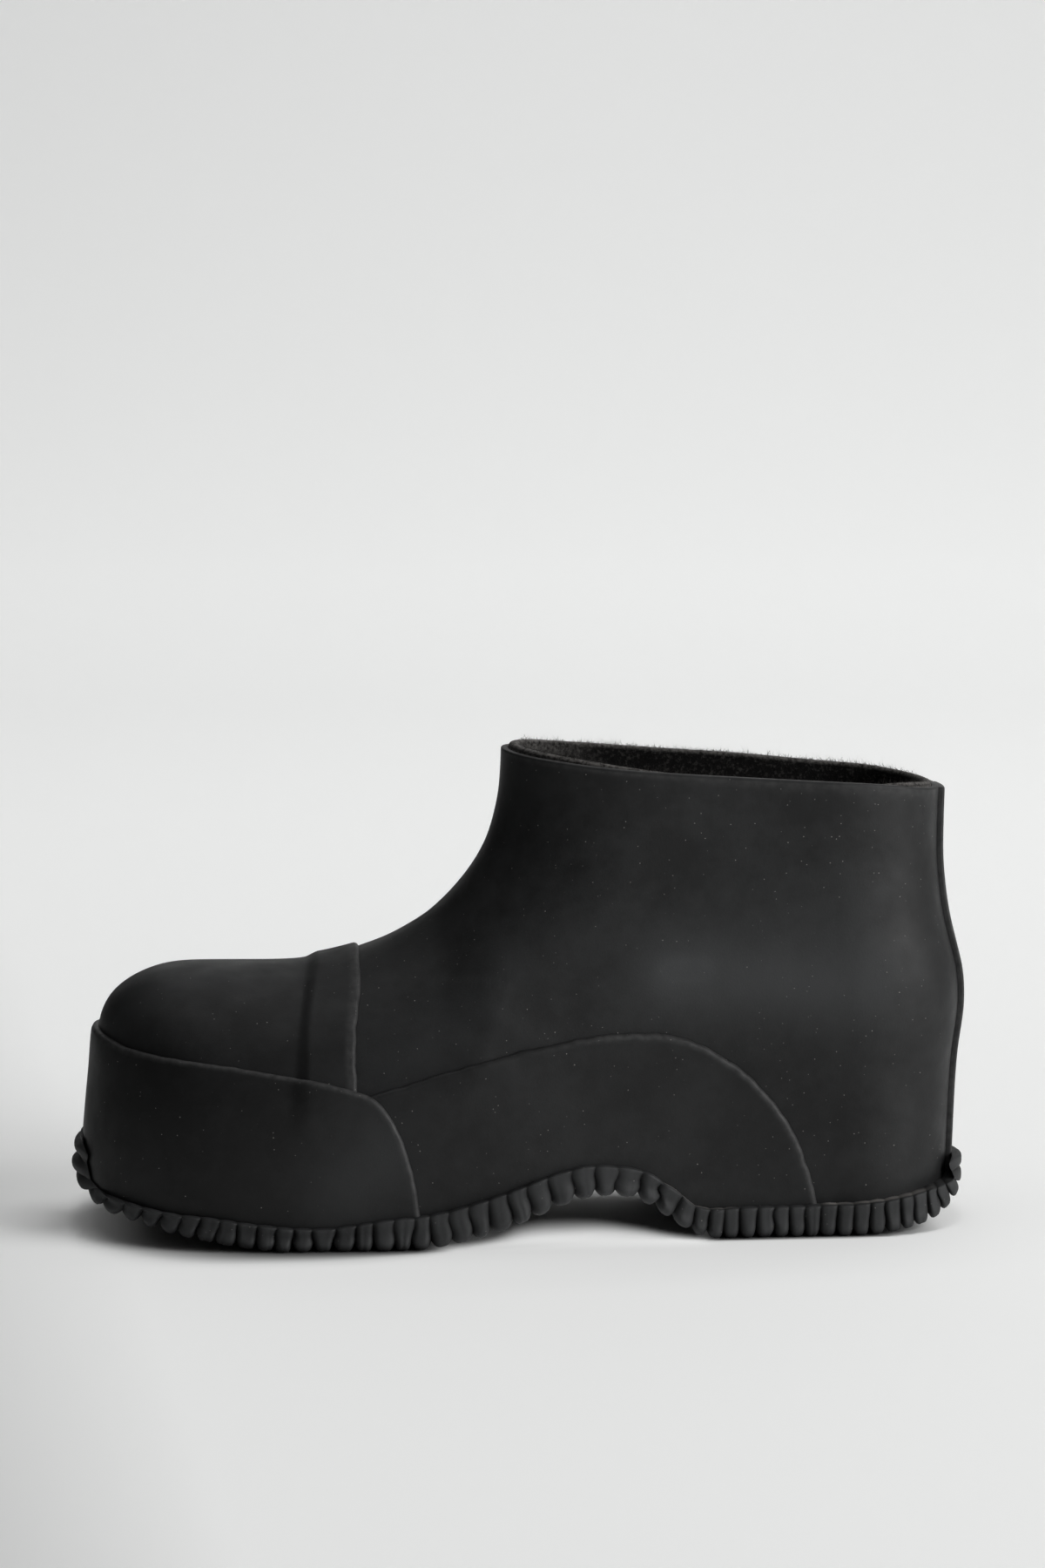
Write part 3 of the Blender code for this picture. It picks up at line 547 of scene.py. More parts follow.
@dataclass
class SolePath:
    """The sole's under line in side view, with the rim's height and the direction of the ribs.

    A rib points along the line's own normal by the share that the table gives, and straight up by the rest.
    """

    samples: int = 4001
    softness: float = 1.0
    press: float = 0.9
    toe_near: float = -134.7
    heel_near: float = 135.3
    guard_search: Span = (-40.0, -33.0)

    def __post_init__(self) -> None:
        """Reads the table along its chord length and spaces it evenly by true length."""
        rows = np.array(SOLE_LINE)
        chord = run_along(rows[:, :2])
        at = np.linspace(0.0, chord[-1], self.samples)
        spread = self.softness / (at[1] - at[0])
        x, z, rim, lean = (bell_average(cubic_through(chord, rows[:, k], at), spread) for k in range(4))
        self.run = run_along(pairs(x, z))
        self.x, self.z, self.rim = x, np.maximum(z, 0.0), rim
        up_x = -np.gradient(z, self.run) * lean
        up_z = np.gradient(x, self.run) * lean + 1.0 - lean
        size = np.hypot(up_x, up_z)
        self.up_x, self.up_z = up_x / size, up_z / size

    def read(self, run: Array) -> tuple[Array, ...]:
        """Place, height, rim height and rib direction at lengths along the line."""
        parts = (self.x, self.z, self.rim, self.up_x, self.up_z)
        return tuple(np.interp(run, self.run, part) for part in parts)

    def seat(self, x: Array) -> Array:
        """Height of the rim's top along the boot.

        Args:
            x: Places along the boot.

        Returns:
            The heights there.
        """
        top_x, top_z = self.x + self.rim * self.up_x, self.z + self.rim * self.up_z
        kept = slice(int(np.argmin(top_x)), int(np.argmax(top_x)) + 1)
        return np.interp(x, np.maximum.accumulate(top_x[kept]), top_z[kept])

    def lower_edge(self, x: Array) -> Array:
        """Height of the upper's lower edge, pressed a little into the rim."""
        return self.seat(x) - self.press

    def toe_foot(self) -> float:
        """Place where the ridge meets the rim at the toe."""
        return float(RIDGE.first(self.lower_edge(np.array(self.toe_near))))

    def heel_foot(self) -> float:
        """Place where the back seam meets the rim at the heel."""
        return float(BACK.second(self.lower_edge(np.array(self.heel_near))))

    def guard_foot(self) -> float:
        """Place where the toe guard's rear edge meets the rim."""
        return crossing(lambda x: self.lower_edge(x) - GUARD_EDGE.second(x), self.guard_search)


class Shell:
    """Gathers grids of points into one closed mesh, joined wherever their points coincide."""

    def __init__(self) -> None:
        """Starts with no points and no faces."""
        self.blocks: list[Array] = []
        self.quads: list[Array] = []
        self.values: list[dict[str, Array]] = []
        self.count = 0

    def add(self, points: Array, **values: Array) -> Array:
        """Adds a grid of points.

        Args:
            points: Array of points, of any grid shape.
            values: Named values of the points, for the finishes.

        Returns:
            The points' numbers, in the grid's shape.
        """
        index = self.count + np.arange(points[..., 0].size).reshape(points.shape[:-1])
        self.blocks.append(points.reshape(-1, 3))
        spread = {name: np.broadcast_to(value, index.shape).ravel() for name, value in values.items()}
        self.values.append(spread)
        self.count += index.size
        return index

    def face(self, index: Array, turn: bool = False) -> None:
        """Fills a grid of point numbers with quads, facing along first axis cross second axis.

        Args:
            index: Point numbers on a grid.
            turn: True to face the other way.
        """
        corners = (index[:-1, :-1], index[1:, :-1], index[1:, 1:], index[:-1, 1:])
        quads = np.stack(corners, axis=-1).reshape(-1, 4)
        self.quads.append(quads[:, ::-1] if turn else quads)

    def join(self, first: Array, second: Array, turn: bool = False) -> None:
        """Fills the strip between two rows of point numbers."""
        self.face(np.stack([first, second], axis=0), turn)

    def piece(self, name: str, shift: Vector) -> bpy.types.Object:
        """Makes the mesh object, with doubled points joined and empty faces dropped.

        Args:
            name: Name of the object.
            shift: Move from the last's axes into the frame, in metres.

        Returns:
            The object, linked to the scene.
        """
        points = np.concatenate(self.blocks)
        keys = np.round(points / WELD).astype(np.int64)
        _, kept, where = np.unique(keys, axis=0, return_index=True, return_inverse=True)
        quads = where.ravel()[np.concatenate(self.quads)]
        doubled = quads == np.roll(quads, -1, axis=1)
        crossed = (quads[:, 0] == quads[:, 2]) | (quads[:, 1] == quads[:, 3])
        whole = quads[~doubled.any(axis=1) & ~crossed]
        partly = (doubled.sum(axis=1) == 1) & ~crossed
        turned = (np.argmax(doubled[partly], axis=1)[:, None] + np.arange(1, 4)) % 4
        corners = np.take_along_axis(quads[partly], turned, axis=1)
        mesh = bpy.data.meshes.new(name)
        mesh.from_pydata(points[kept] * MM + np.array(shift), [], whole.tolist() + corners.tolist())
        for value in sorted({key for block in self.values for key in block}):
            blocks = zip(self.values, self.blocks)
            parts = [given.get(value, np.zeros(len(block))) for given, block in blocks]
            layer = mesh.attributes.new(value, "FLOAT", "POINT")
            layer.data.foreach_set("value", np.concatenate(parts)[kept].astype(np.float32))
        mesh.shade_smooth()
        mesh.set_sharp_from_angle(angle=math.radians(SHARP_ANGLE))
        made = bpy.data.objects.new(name, mesh)
        bpy.context.scene.collection.objects.link(made)
        return made


# Places of grid lines over a rolled edge, and the room left beyond the last, as shares of its radius.
ROLL_STEPS = (0.0, 0.06, 0.2, 0.42, 0.7, 1.05, 1.5)
ROLL_CLEAR = 0.3


def gathered(count: int, start: float = 1.0, end: float = 1.0) -> Array:
    """Shares from 0 to 1: t ** start, closer at 0, or 1 - (1 - t) ** end, closer at 1."""
    share = np.linspace(0.0, 1.0, count) ** start
    return 1.0 - (1.0 - share) ** end


def swung(count: int) -> Array:
    """Shares from 0 to 1, closer at both ends: half of 1 - cos(pi * t)."""
    return 0.5 - 0.5 * np.cos(np.pi * np.linspace(0.0, 1.0, count))


def with_edges(shares: Array, length: float, roll: float, start: bool, end: bool) -> Array:
    """Adds shares close to the free ends of a span, where an edge is rolled.

    Args:
        shares: Shares from 0 to 1.
        length: Length of the span.
        roll: Radius of the rolled edge.
        start: True if the span starts at a free edge.
        end: True if it ends at one.

    Returns:
        Sorted shares.
    """
    near = np.array(ROLL_STEPS) * roll / length
    clear = ROLL_CLEAR * roll / length
    low = near if start else shares[:1]
    high = 1.0 - near[::-1] if end else shares[-1:]
    middle = shares[(shares > low[-1] + clear) & (shares < high[0] - clear)]
    return np.concatenate([low, middle, high])


def coons(low: Array, top: Array, left: Array, right: Array, u: Array, v: Array) -> Array:
    """Patch between four edges: both ruled blends added, less the blend of the corners.

    Args:
        low: Lower edge, a pair for each u.
        top: Upper edge, a pair for each u.
        left: Left edge, a pair for each v.
        right: Right edge, a pair for each v.
        u: Shares along the low and the top edge.
        v: Shares along the left and the right edge.

    Returns:
        Pairs (x, z) for each u and v.
    """
    u, v = u[:, None, None], v[None, :, None]
    across = low[:, None] * (1 - v) + top[:, None] * v
    along = left[None] * (1 - u) + right[None] * u
    corners = (low[0] * (1 - u) + low[-1] * u) * (1 - v) + (top[0] * (1 - u) + top[-1] * u) * v
    return across + along - corners


def edge_rows(grid: Array) -> dict[Edge, Array]:
    """The four edges of a grid of points or of point numbers."""
    return {Edge.LOW: grid[:, 0], Edge.TOP: grid[:, -1], Edge.LEFT: grid[0], Edge.RIGHT: grid[-1]}


@dataclass
class Overlay:
    """A rubber piece laid on the last: a side-view patch lifted on one or both sides, with rolled edges.

    Height of the face = face - the drop of a quarter round along each free edge. The edge's wall then goes
    straight down to the seat.
    """

    last: Last
    sole: SolePath
    name: str
    face: float
    roll: float
    seams: tuple[Edge, ...] = ()
    sides: tuple[Side, ...] = BOTH_SIDES
    flat: tuple[Edge, ...] = (Edge.LOW,)
    seat: float = 0.05
    # Width of the cut edges' paler band, scuffed and a painted highlight, and the share at which it starts to
    # fade.
    scuffed_and_lit: float = 2.2
    scuffed_and_lit_from: float = 0.4

    def side_view(self) -> Array:
        """The patch in side view, pairs (x, z) on a grid."""
        raise NotImplementedError

    def scuff_and_highlight_at(self, x: Array, z: Array) -> Array:
        """How pale the cut edge is along its run: scuffed, and a painted highlight."""
        return np.ones(x.shape)

    def painted_highlight_at(self, x: Array, z: Array) -> Array:
        """How pale the face is painted for a highlight."""
        return np.zeros(x.shape)

    def face_at(self, x: Array, z: Array) -> Array:
        """Height of the face away from its edges."""
        return np.full(x.shape, self.face)

    def seam_mask(self, shape: tuple[int, ...]) -> Array:
        """True on the edges that lie on the ridge or the back seam.

        Args:
            shape: Shape of the patch's grid.

        Returns:
            The mask.
        """
        mask = np.zeros(shape, dtype=bool)
        for edge, row in edge_rows(mask).items():
            row |= edge in self.seams
        return mask

    def from_edge(self, form: Array) -> Array:
        """Distance of each point of a grid from the nearest chord of its free edges.

        Args:
            form: Points of the grid.

        Returns:
            The distances.
        """
        rows = edge_rows(form)
        nearest = np.full(form.shape[:2], np.inf)
        for row in (rows[edge] for edge in Edge if edge not in self.seams + self.flat):
            way = np.diff(row, axis=0)
            off = form[:, :, None] - row[:-1]
            share = (off * way).sum(axis=-1) / np.maximum((way * way).sum(axis=-1), LEAST_LENGTH)
            away = np.linalg.norm(off - np.clip(share, 0.0, 1.0)[..., None] * way, axis=-1)
            nearest = np.minimum(nearest, away.min(axis=-1))
        return nearest

    def build(self) -> Shell:
        """Lifts the patch on each side and closes it against its seat.

        Returns:
            The closed shell.
        """
        shell = Shell()
        view = self.side_view()
        x, z = view[..., 0], view[..., 1]
        seam = self.seam_mask(x.shape)
        for side in self.sides:
            away = self.from_edge(self.last.surface(x, z, side, seam=seam))
            # Cut edges paler for scuffing and a painted highlight.
            wear = (1.0 - ease(away / self.scuffed_and_lit, self.scuffed_and_lit_from, 1.0)) * self.scuff_and_highlight_at(x, z)
            lift = self.face_at(x, z) - quarter_round(away, self.roll)
            face = self.last.surface(x, z, side, lift, seam)
            out = shell.add(face, wear=wear, bloom=self.painted_highlight_at(x, z))
            seat = shell.add(self.last.surface(x, z, side, self.seat, seam), wear=wear)
            far = side is Side.INNER
            shell.face(out, far)
            shell.face(seat, not far)
            walls = edge_rows(out), edge_rows(seat)
            for edge in (edge for edge in Edge if edge not in self.seams):
                first, second = walls if edge in (Edge.LOW, Edge.RIGHT) else walls[::-1]
                shell.join(first[edge], second[edge], far)
        return shell


@dataclass
class ToeGuard(Overlay):
    """The tall guard round the toe, standing on the sole's rim, with a proud lip."""

    name: str = "toe_guard"
    face: float = 3.4
    roll: float = 1.4
    scuffed_and_lit: float = 2.1
    seams: tuple[Edge, ...] = (Edge.LEFT,)
    counts: tuple[int, int] = (120, 44)
    lengths: Span = (110.0, 44.0)
    toe_gather: float = 1.9
    corner_x: float = -47.6
    band_lift: float = 1.3
    lift_along: Stretch = (-74.0, -67.5, -64.0, -44.0)
    lift_up: Span = (30.0, 47.0)
    # Painted highlight before the foot of the rear edge.
    highlight_and_pale_patches: Crease = Crease((-56.0, 20.0), (-44.0, 30.0), 0.65, 13.0)

    def side_view(self) -> Array:
        """Patch from the front seam to the rear edge, and from the sole's rim to the lip.

        Returns:
            Pairs (x, z) on a grid.
        """
        shares = gathered(self.counts[0], start=self.toe_gather), gathered(self.counts[1])
        u, v = (with_edges(s, long, self.roll, False, True) for s, long in zip(shares, self.lengths))
        tip_z = crossing(lambda z: z - GUARD_EDGE.second(RIDGE.first(z)), LIP_HEIGHTS)
        toe_x, rear_x = self.sole.toe_foot(), self.sole.guard_foot()
        low_x = part_way(toe_x, rear_x, u)
        low = pairs(low_x, self.sole.lower_edge(low_x))
        top = GUARD_EDGE.between(float(RIDGE.first(tip_z)), self.corner_x, u)
        left_z = part_way(low[0, 1], tip_z, v)
        left = pairs(RIDGE.first(left_z), left_z)
        right = GUARD_EDGE.between(rear_x, self.corner_x, v)
        low[0], top[0] = left[0], left[-1]
        low[-1], top[-1] = right[0], right[-1]
        return coons(low, top, left, right, u, v)

    def painted_highlight_at(self, x: Array, z: Array) -> Array:
        """Painted highlight: a pale patch before the foot of the rear edge."""
        return self.highlight_and_pale_patches.depth_at(x, z)

    def face_at(self, x: Array, z: Array) -> Array:
        """Even face that steps softly up behind the front of the band under it, less toward the sole."""
        return self.face + self.band_lift * plateau(x, *self.lift_along) * ease(z, *self.lift_up)


@dataclass
class ToeCap(Overlay):
    """The thin cap over the toe above the guard's lip, with a raised band along its rear edge."""

    name: str = "toe_cap"
    face: float = 1.3
    roll: float = 1.2
    scuffed_and_lit: float = 3.8
    seams: tuple[Edge, ...] = (Edge.TOP,)
    flat: tuple[Edge, ...] = (Edge.LOW, Edge.LEFT)
    stretches: tuple[tuple[float, float, int], ...] = ((0.0, 0.66, 46), (0.66, 0.9, 42), (0.9, 1.0, 10))
    length: float = 78.0
    rows: int = 64
    ridge_gather: float = 2.0
    lip_x: float = -116.0
    under_lip: float = 0.02
    rear_search: Span = (45.0, 56.0)
    ridge_search: Span = (80.0, 92.0)
    band_front: Span = (-68.0, 2.7)  # place along, height
    band_rear: Span = (-50.0, 1.3)
    band_step: float = 5.0
    # Painted highlight along the top of the toe.
    painted_top_highlight: tuple[Crease, ...] = (
        Crease((-126.0, 68.0), (-112.0, 78.0), 0.34, 6.0),
        Crease((-108.0, 80.0), (-72.0, 82.0), 0.30, 6.0),
    )

    def side_view(self) -> Array:
        """Patch from the front of the lip to the rear edge, and from the lip to the ridge.

        Returns:
            Pairs (x, z) on a grid.
        """
        even = np.unique(np.concatenate([np.linspace(*stretch) for stretch in self.stretches]))
        u = with_edges(even, self.length, self.roll, False, True)
        v = gathered(self.rows, end=self.ridge_gather)
        tip_z = crossing(lambda z: z - self.lip(RIDGE.first(z)), LIP_HEIGHTS)
        rear_z = crossing(lambda z: z - self.lip(CAP_EDGE.second(z)), self.rear_search)
        ridge_z = crossing(lambda z: z - RIDGE.second(CAP_EDGE.second(z)), self.ridge_search)
        low_x = part_way(self.lip_x, float(CAP_EDGE.second(rear_z)), u)
        low = pairs(low_x, self.lip(low_x))
        top = RIDGE.between(tip_z, ridge_z, u, 1)
        left_x = part_way(self.lip_x, float(RIDGE.first(tip_z)), v)
        left = pairs(left_x, self.lip(left_x))
        right = CAP_EDGE.between(rear_z, ridge_z, v)[:, ::-1]
        low[0], low[-1] = left[0], right[0]
        left[-1], right[-1] = top[0], top[-1]
        return coons(low, top, left, right, u, v)

    def painted_highlight_at(self, x: Array, z: Array) -> Array:
        """Painted highlight: pale along the top of the toe."""
        return sum(patch.depth_at(x, z) for patch in self.painted_top_highlight)

    def lip(self, x: Array) -> Array:
        """Lower edge of the cap, just over the guard's lip."""
        return GUARD_EDGE.second(x) + self.under_lip

    def face_at(self, x: Array, z: Array) -> Array:
        """Even face in front, stepping softly up to the band, which thins toward the rear edge.

        Args:
            x: Places along the boot.
            z: Heights.

        Returns:
            Heights of the face.
        """
        band = np.interp(x, *zip(self.band_front, self.band_rear))
        behind = (x - BAND_EDGE.second(z)) / self.band_step
        return part_way(self.face, band, ease(behind, -0.5, 0.5))


@dataclass
class SidePanel(Overlay):
    """The low panel along one side, from the toe guard to its arc before the heel."""

    face: float = 1.9
    roll: float = 1.5
    scuffed_and_lit: float = 2.6
    flat: tuple[Edge, ...] = (Edge.LOW, Edge.LEFT)
    counts: tuple[int, int] = (130, 42)
    lengths: Span = (115.0, 44.0)
    shoulder_x: float = 64.0
    gap: float = 0.02
    heel_search: Span = (80.0, 91.8)
    meet_search: Span = (-50.0, -40.0)
    # The front of the top edge faces away from the light, so little of the painted highlight goes there.
    front_scuff_and_highlight: float = 0.12
    scuff_and_highlight_span: Span = (0.0, 26.0)

    def side_view(self) -> Array:
        """Patch from the guard's rear edge to the arc's foot, and from the sole's rim to the top edge.

        Returns:
            Pairs (x, z) on a grid.
        """
        sizes = zip(self.counts, self.lengths)
        u, v = (with_edges(gathered(count), long, self.roll, False, True) for count, long in sizes)
        guard_x = self.sole.guard_foot()
        heel_x = crossing(lambda x: self.sole.lower_edge(x) - PANEL_EDGE.second(x), self.heel_search)
        meet_x = crossing(lambda x: PANEL_EDGE.second(x) - GUARD_EDGE.second(x), self.meet_search)
        low_x = part_way(guard_x + self.gap, heel_x, u)
        low = pairs(low_x, self.sole.lower_edge(low_x))
        top = PANEL_EDGE.between(meet_x + self.gap, self.shoulder_x, u)
        left = GUARD_EDGE.between(guard_x, meet_x, v) + np.array([self.gap, 0.0])
        right = PANEL_EDGE.between(heel_x, self.shoulder_x, v)
        left[0], left[-1] = low[0], top[0]
        right[0], right[-1] = low[-1], top[-1]
        return coons(low, top, left, right, u, v)

    def scuff_and_highlight_at(self, x: Array, z: Array) -> Array:
        """Painted highlight and scuffing on the lit arc behind, hardly any on the shaded front of the top edge.
        """
        return part_way(self.front_scuff_and_highlight, 1.0, ease(x, *self.scuff_and_highlight_span))


@dataclass
class Backstay(Overlay):
    """The narrow strip up the back seam, from the sole's rim to the collar."""

    name: str = "backstay"
    face: float = 1.9
    roll: float = 0.8
    seams: tuple[Edge, ...] = (Edge.RIGHT,)
    counts: tuple[int, int] = (22, 70)
    length: float = 118.0
    half_width: float = 8.0
    under_collar: float = 0.4

    def side_view(self) -> Array:
        """Strip of constant half width: x follows from the sideways place by turning the back rounding round.

        Returns:
            Pairs (x, z) on a grid.
        """
        u = with_edges(gathered(self.counts[0]), self.half_width, self.roll, True, False)
        v = with_edges(gathered(self.counts[1]), self.length, self.roll, False, True)
        low_z = float(self.sole.lower_edge(np.array(self.sole.heel_foot())))
        top_z = float(COLLAR.second(COLLAR_ENDS[1])) - self.under_collar
        z = part_way(low_z, top_z, v)[None, :] + 0.0 * u[:, None]
        full = self.last.full_width(BACK.second(z), z, Side.OUTER)
        across = self.half_width * (1.0 - u)[:, None] / full
        reach = 1.0 - rounded_off(across, self.last.corner_power)
        return pairs(BACK.second(z) - reach * self.last.round_back.second(z), z)


@dataclass
class Upper:
    """The boot's wall: one sheet over the last, open at the collar and underneath, with a rounded cut rim."""

    last: Last
    sole: SolePath
    name: str = "upper"
    wall: float = 2.4
    rim_round: float = 0.9
    rim_square: float = 0.55
    rim_turns: int = 13
    outer_sag: float = -0.3
    sag_span: Stretch = (-4.0, 12.0, 100.0, 128.0)
    lip_corner_z: float = 64.5
    vamp_z: float = 89.3
    waist: Span = (-32.0, 26.0)
    heel_columns: tuple[Span, ...] = ((0.42, 58.0), (0.75, 106.0), (0.92, 130.0))  # share, place
    columns: tuple[int, int, int] = (34, 52, 84)
    rows: int = 84
    dome_gather: float = 1.25
    toe_gather: float = 1.8
    rim_gather: float = 1.9
    bow: float = 3.0
    # Width of the paler band under the collar's rim at the front and the back, scuffed and a painted highlight.
    rim_scuffed_and_lit: Span = (1.0, 2.2)
    scuffed_and_lit_span: Span = (40.0, 80.0)
    rim_pale: float = 0.8
    front_pale: float = 0.0
    front_span: Span = (4.0, 30.0)
    front_depth: float = 4.0
    # The first patch, along the middle of the outer side from x 46 to 104, is a painted highlight; the others
    # are pale patches.
    highlight_and_pale_patches: tuple[Crease, ...] = (
        Crease((46.0, 82.0), (104.0, 78.0), 0.85, 14.0, OUTER_ONLY),
        Crease((44.0, 83.5), (54.0, 84.0), 0.35, 4.0, OUTER_ONLY),
        Crease((-42.0, 58.0), (-26.0, 66.0), 0.36, 11.0, OUTER_ONLY),
        Crease((-15.7, 74.0), (-5.6, 87.0), 0.34, 7.5, OUTER_ONLY),
        Crease((66.0, 106.0), (98.0, 98.0), 0.10, 12.0, OUTER_ONLY),
    )
    # Painted shade on the back of the shaft, carried in the groove value.
    shaded: tuple[Crease, ...] = (Crease((121.0, 94.0), (126.0, 116.0), 1.5, 8.0),)

    def top_height(self, x: Array, side: Side) -> Array:
        """Height at which the collar's rounding starts; the outer side's middle is cut a little higher."""
        sag = self.outer_sag * plateau(x, *self.sag_span)
        return COLLAR.second(x) - self.rim_round - sag * (side is Side.OUTER)

    def low_height(self, x: Array) -> Array:
        """Height of the low edge, on the sole's rim."""
        return self.sole.lower_edge(x)

    def top_edge(self, side: Side) -> Array:
        """Edge from the toe up the ridge, and back along the collar.

        Args:
            side: Side of the boot.

        Returns:
            Pairs (x, z), one for each column.
        """
        dome, throat, shaft = self.columns
        front_z, back_z = (float(self.top_height(np.array(x), side)) for x in COLLAR_ENDS)
        collar_x = part_way(float(RIDGE.first(front_z)), float(BACK.second(back_z)), swung(shaft + 1))
        return np.concatenate([
            RIDGE.between(self.lip_corner_z, self.vamp_z, gathered(dome + 1, start=self.dome_gather), 1),
            RIDGE.between(self.vamp_z, front_z, gathered(throat + 1), 1)[1:],
            pairs(collar_x, self.top_height(collar_x, side))[1:],
        ])

    def low_edge(self) -> Array:
        """Edge from the toe to the heel along the low height.

        Returns:
            Pairs (x, z), one for each column.
        """
        dome, throat, shaft = self.columns
        front, rear = self.waist
        spaced = np.array([(0.0, rear), *self.heel_columns, (1.0, self.sole.heel_foot())])
        x = np.concatenate([
            part_way(self.sole.toe_foot(), front, gathered(dome + 1, start=self.toe_gather)),
            np.linspace(front, rear, throat + 1)[1:],
            cubic_through(spaced[:, 0], spaced[:, 1], np.linspace(0.0, 1.0, shaft + 1))[1:],
        ])
        z = self.low_height(x)
        x[0], x[-1] = float(RIDGE.first(z[0])), float(BACK.second(z[-1]))
        return pairs(x, z)

    def side_view(self, side: Side) -> Array:
        """Patch ruled from the low edge to the top edge, bowed at both ends to follow the toe and the back.

        Args:
            side: Side of the boot.

        Returns:
            Pairs (x, z) for each column and row.
        """
        low, top = self.low_edge(), self.top_edge(side)
        v = gathered(self.rows + 1, end=self.rim_gather)
        left_z, right_z = (part_way(low[end, 1], top[end, 1], v) for end in (0, -1))
        seams = pairs(RIDGE.first(left_z), left_z), pairs(BACK.second(right_z), right_z)
        share = np.linspace(0.0, 1.0, len(top))[:, None, None]
        fades = 1.0 - share * self.bow, share * self.bow - (self.bow - 1.0)
        rise = v[None, :, None]
        view = low[:, None] * (1 - rise) + top[:, None] * rise
        for end, seam, fade in zip((0, -1), seams, fades):
            bowed = seam[None] - (low[end] * (1 - rise) + top[end] * rise)
            view = view + np.clip(fade, 0.0, 1.0) ** 2 * bowed
        return view

    def seam_mask(self, shape: tuple[int, ...]) -> Array:
        """True on the ridge, down the toe and down the back seam.

        Args:
            shape: Shape of the patch's grid.

        Returns:
            The mask.
        """
        mask = np.zeros(shape, dtype=bool)
        mask[[0, -1]] = True
        mask[:sum(self.columns[:2]) + 1, -1] = True
        return mask

    def rim(self, out: Array, back: Array, turn: Array) -> Array:
        """Squared half circle from the outer face's top edge over to the inner face's.

        Sideways place = cos of the turn and rise = sin of the turn, both to the power of rim_square.

        Args:
            out: Points of the outer face.
            back: Points of the inner face.
            turn: Angles over the rim.

        Returns:
            Points for each column of the collar and each angle.
        """
        start = sum(self.columns[:2])
        first, last = out[start:, -1, None], back[start:, -1, None]
        across, up = np.cos(turn)[None, :, None], np.maximum(np.sin(turn), 0.0)[None, :, None]
        aside = np.sign(across) * np.abs(across) ** self.rim_square
        rise = np.array([0.0, 0.0, self.rim_round]) * up ** self.rim_square
        return 0.5 * (first + last) + 0.5 * (first - last) * aside + rise

    def sheet(self, outer: float, inner: float) -> Shell:
        """Closed double sheet between two lifts, with a rounded rim along the collar.

        Args:
            outer: Lift of the outer face.
            inner: Lift of the inner face.

        Returns:
            The closed shell.
        """
        shell = Shell()
        turn = np.linspace(0.0, np.pi, self.rim_turns)
        for side in BOTH_SIDES:
            view = self.side_view(side)
            x, z = view[..., 0], view[..., 1]
            seam = self.seam_mask(x.shape)
            faces = [self.last.surface(x, z, side, lift, seam) for lift in (outer, inner)]
            under_rim = self.top_height(x, side) - z
            # Under the rim the outer face is paler for scuffing and a painted highlight, wider toward the back.
            scuffed_and_lit = part_way(*self.rim_scuffed_and_lit, ease(x, *self.scuffed_and_lit_span))
            front = 1.0 - ease(x, *self.front_span)
            out = shell.add(
                faces[0],
                bloom=marks_at(self.highlight_and_pale_patches, x, z, side),
                wear=self.rim_pale * bell(under_rim, scuffed_and_lit),
                groove=marks_at(self.shaded, x, z, side),
            )
            back = shell.add(faces[1], wear=self.front_pale * front * bell(under_rim, self.front_depth))
            far = side is Side.INNER
            shell.face(out, far)
            shell.face(back, not far)
            shell.join(out[:, 0], back[:, 0], far)
            # The rim is paler over its top: scuffed, and a painted highlight where it faces up.
            shell.face(shell.add(self.rim(*faces, turn), wear=np.sin(turn)), far)
        return shell

    def build(self) -> Shell:
        """The wall from the sole's rim to the collar."""
        return self.sheet(0.0, -self.wall)


@dataclass
class Lining(Upper):
    """The felt lining: a soft sheet inside the wall from the insole up past the rim."""

    name: str = "lining"
    thickness: float = 3.2
    play: float = 0.06
    over_footbed: float = 3.4
    rim_round: float = 1.5
    rim_square: float = 0.8
    over_rim: float = 1.5
    outer_drop: float = 2.2
    outer_span: Stretch = (8.0, 62.0, 104.0, 128.0)
    inner_drop: float = 1.2
    inner_place: Span = (102.0, 22.0)  # place along, spread
    # Painted highlight and scuffing on the felt's inner face near the front of the collar.
    front_pale: float = 0.45
    rim_scuffed_and_lit: Span = (1.2, 1.2)
    columns: tuple[int, int, int] = (20, 34, 60)
    rows: int = 44

    def top_height(self, x: Array, side: Side) -> Array:
        """Height at which the felt's rounding starts: past the rim, but hidden along the outer side's middle.

        Args:
            x: Places along the boot.
            side: Side of the boot.

        Returns:
            The heights.
        """
        place, spread = self.inner_place
        drop = self.inner_drop * bell(x - place, spread)
        if side is Side.OUTER:
            drop = self.outer_drop * plateau(x, *self.outer_span)
        return COLLAR.second(x) + self.over_rim - self.rim_round - drop

    def low_height(self, x: Array) -> Array:
        """Height of the low edge, on the insole."""
        return FOOTBED.second(x) + self.over_footbed

    def build(self) -> Shell:
        """The felt sheet, standing on the insole, with a rounded fuzzy top."""
        outer = -self.wall - self.play
        return self.sheet(outer, outer - self.thickness)


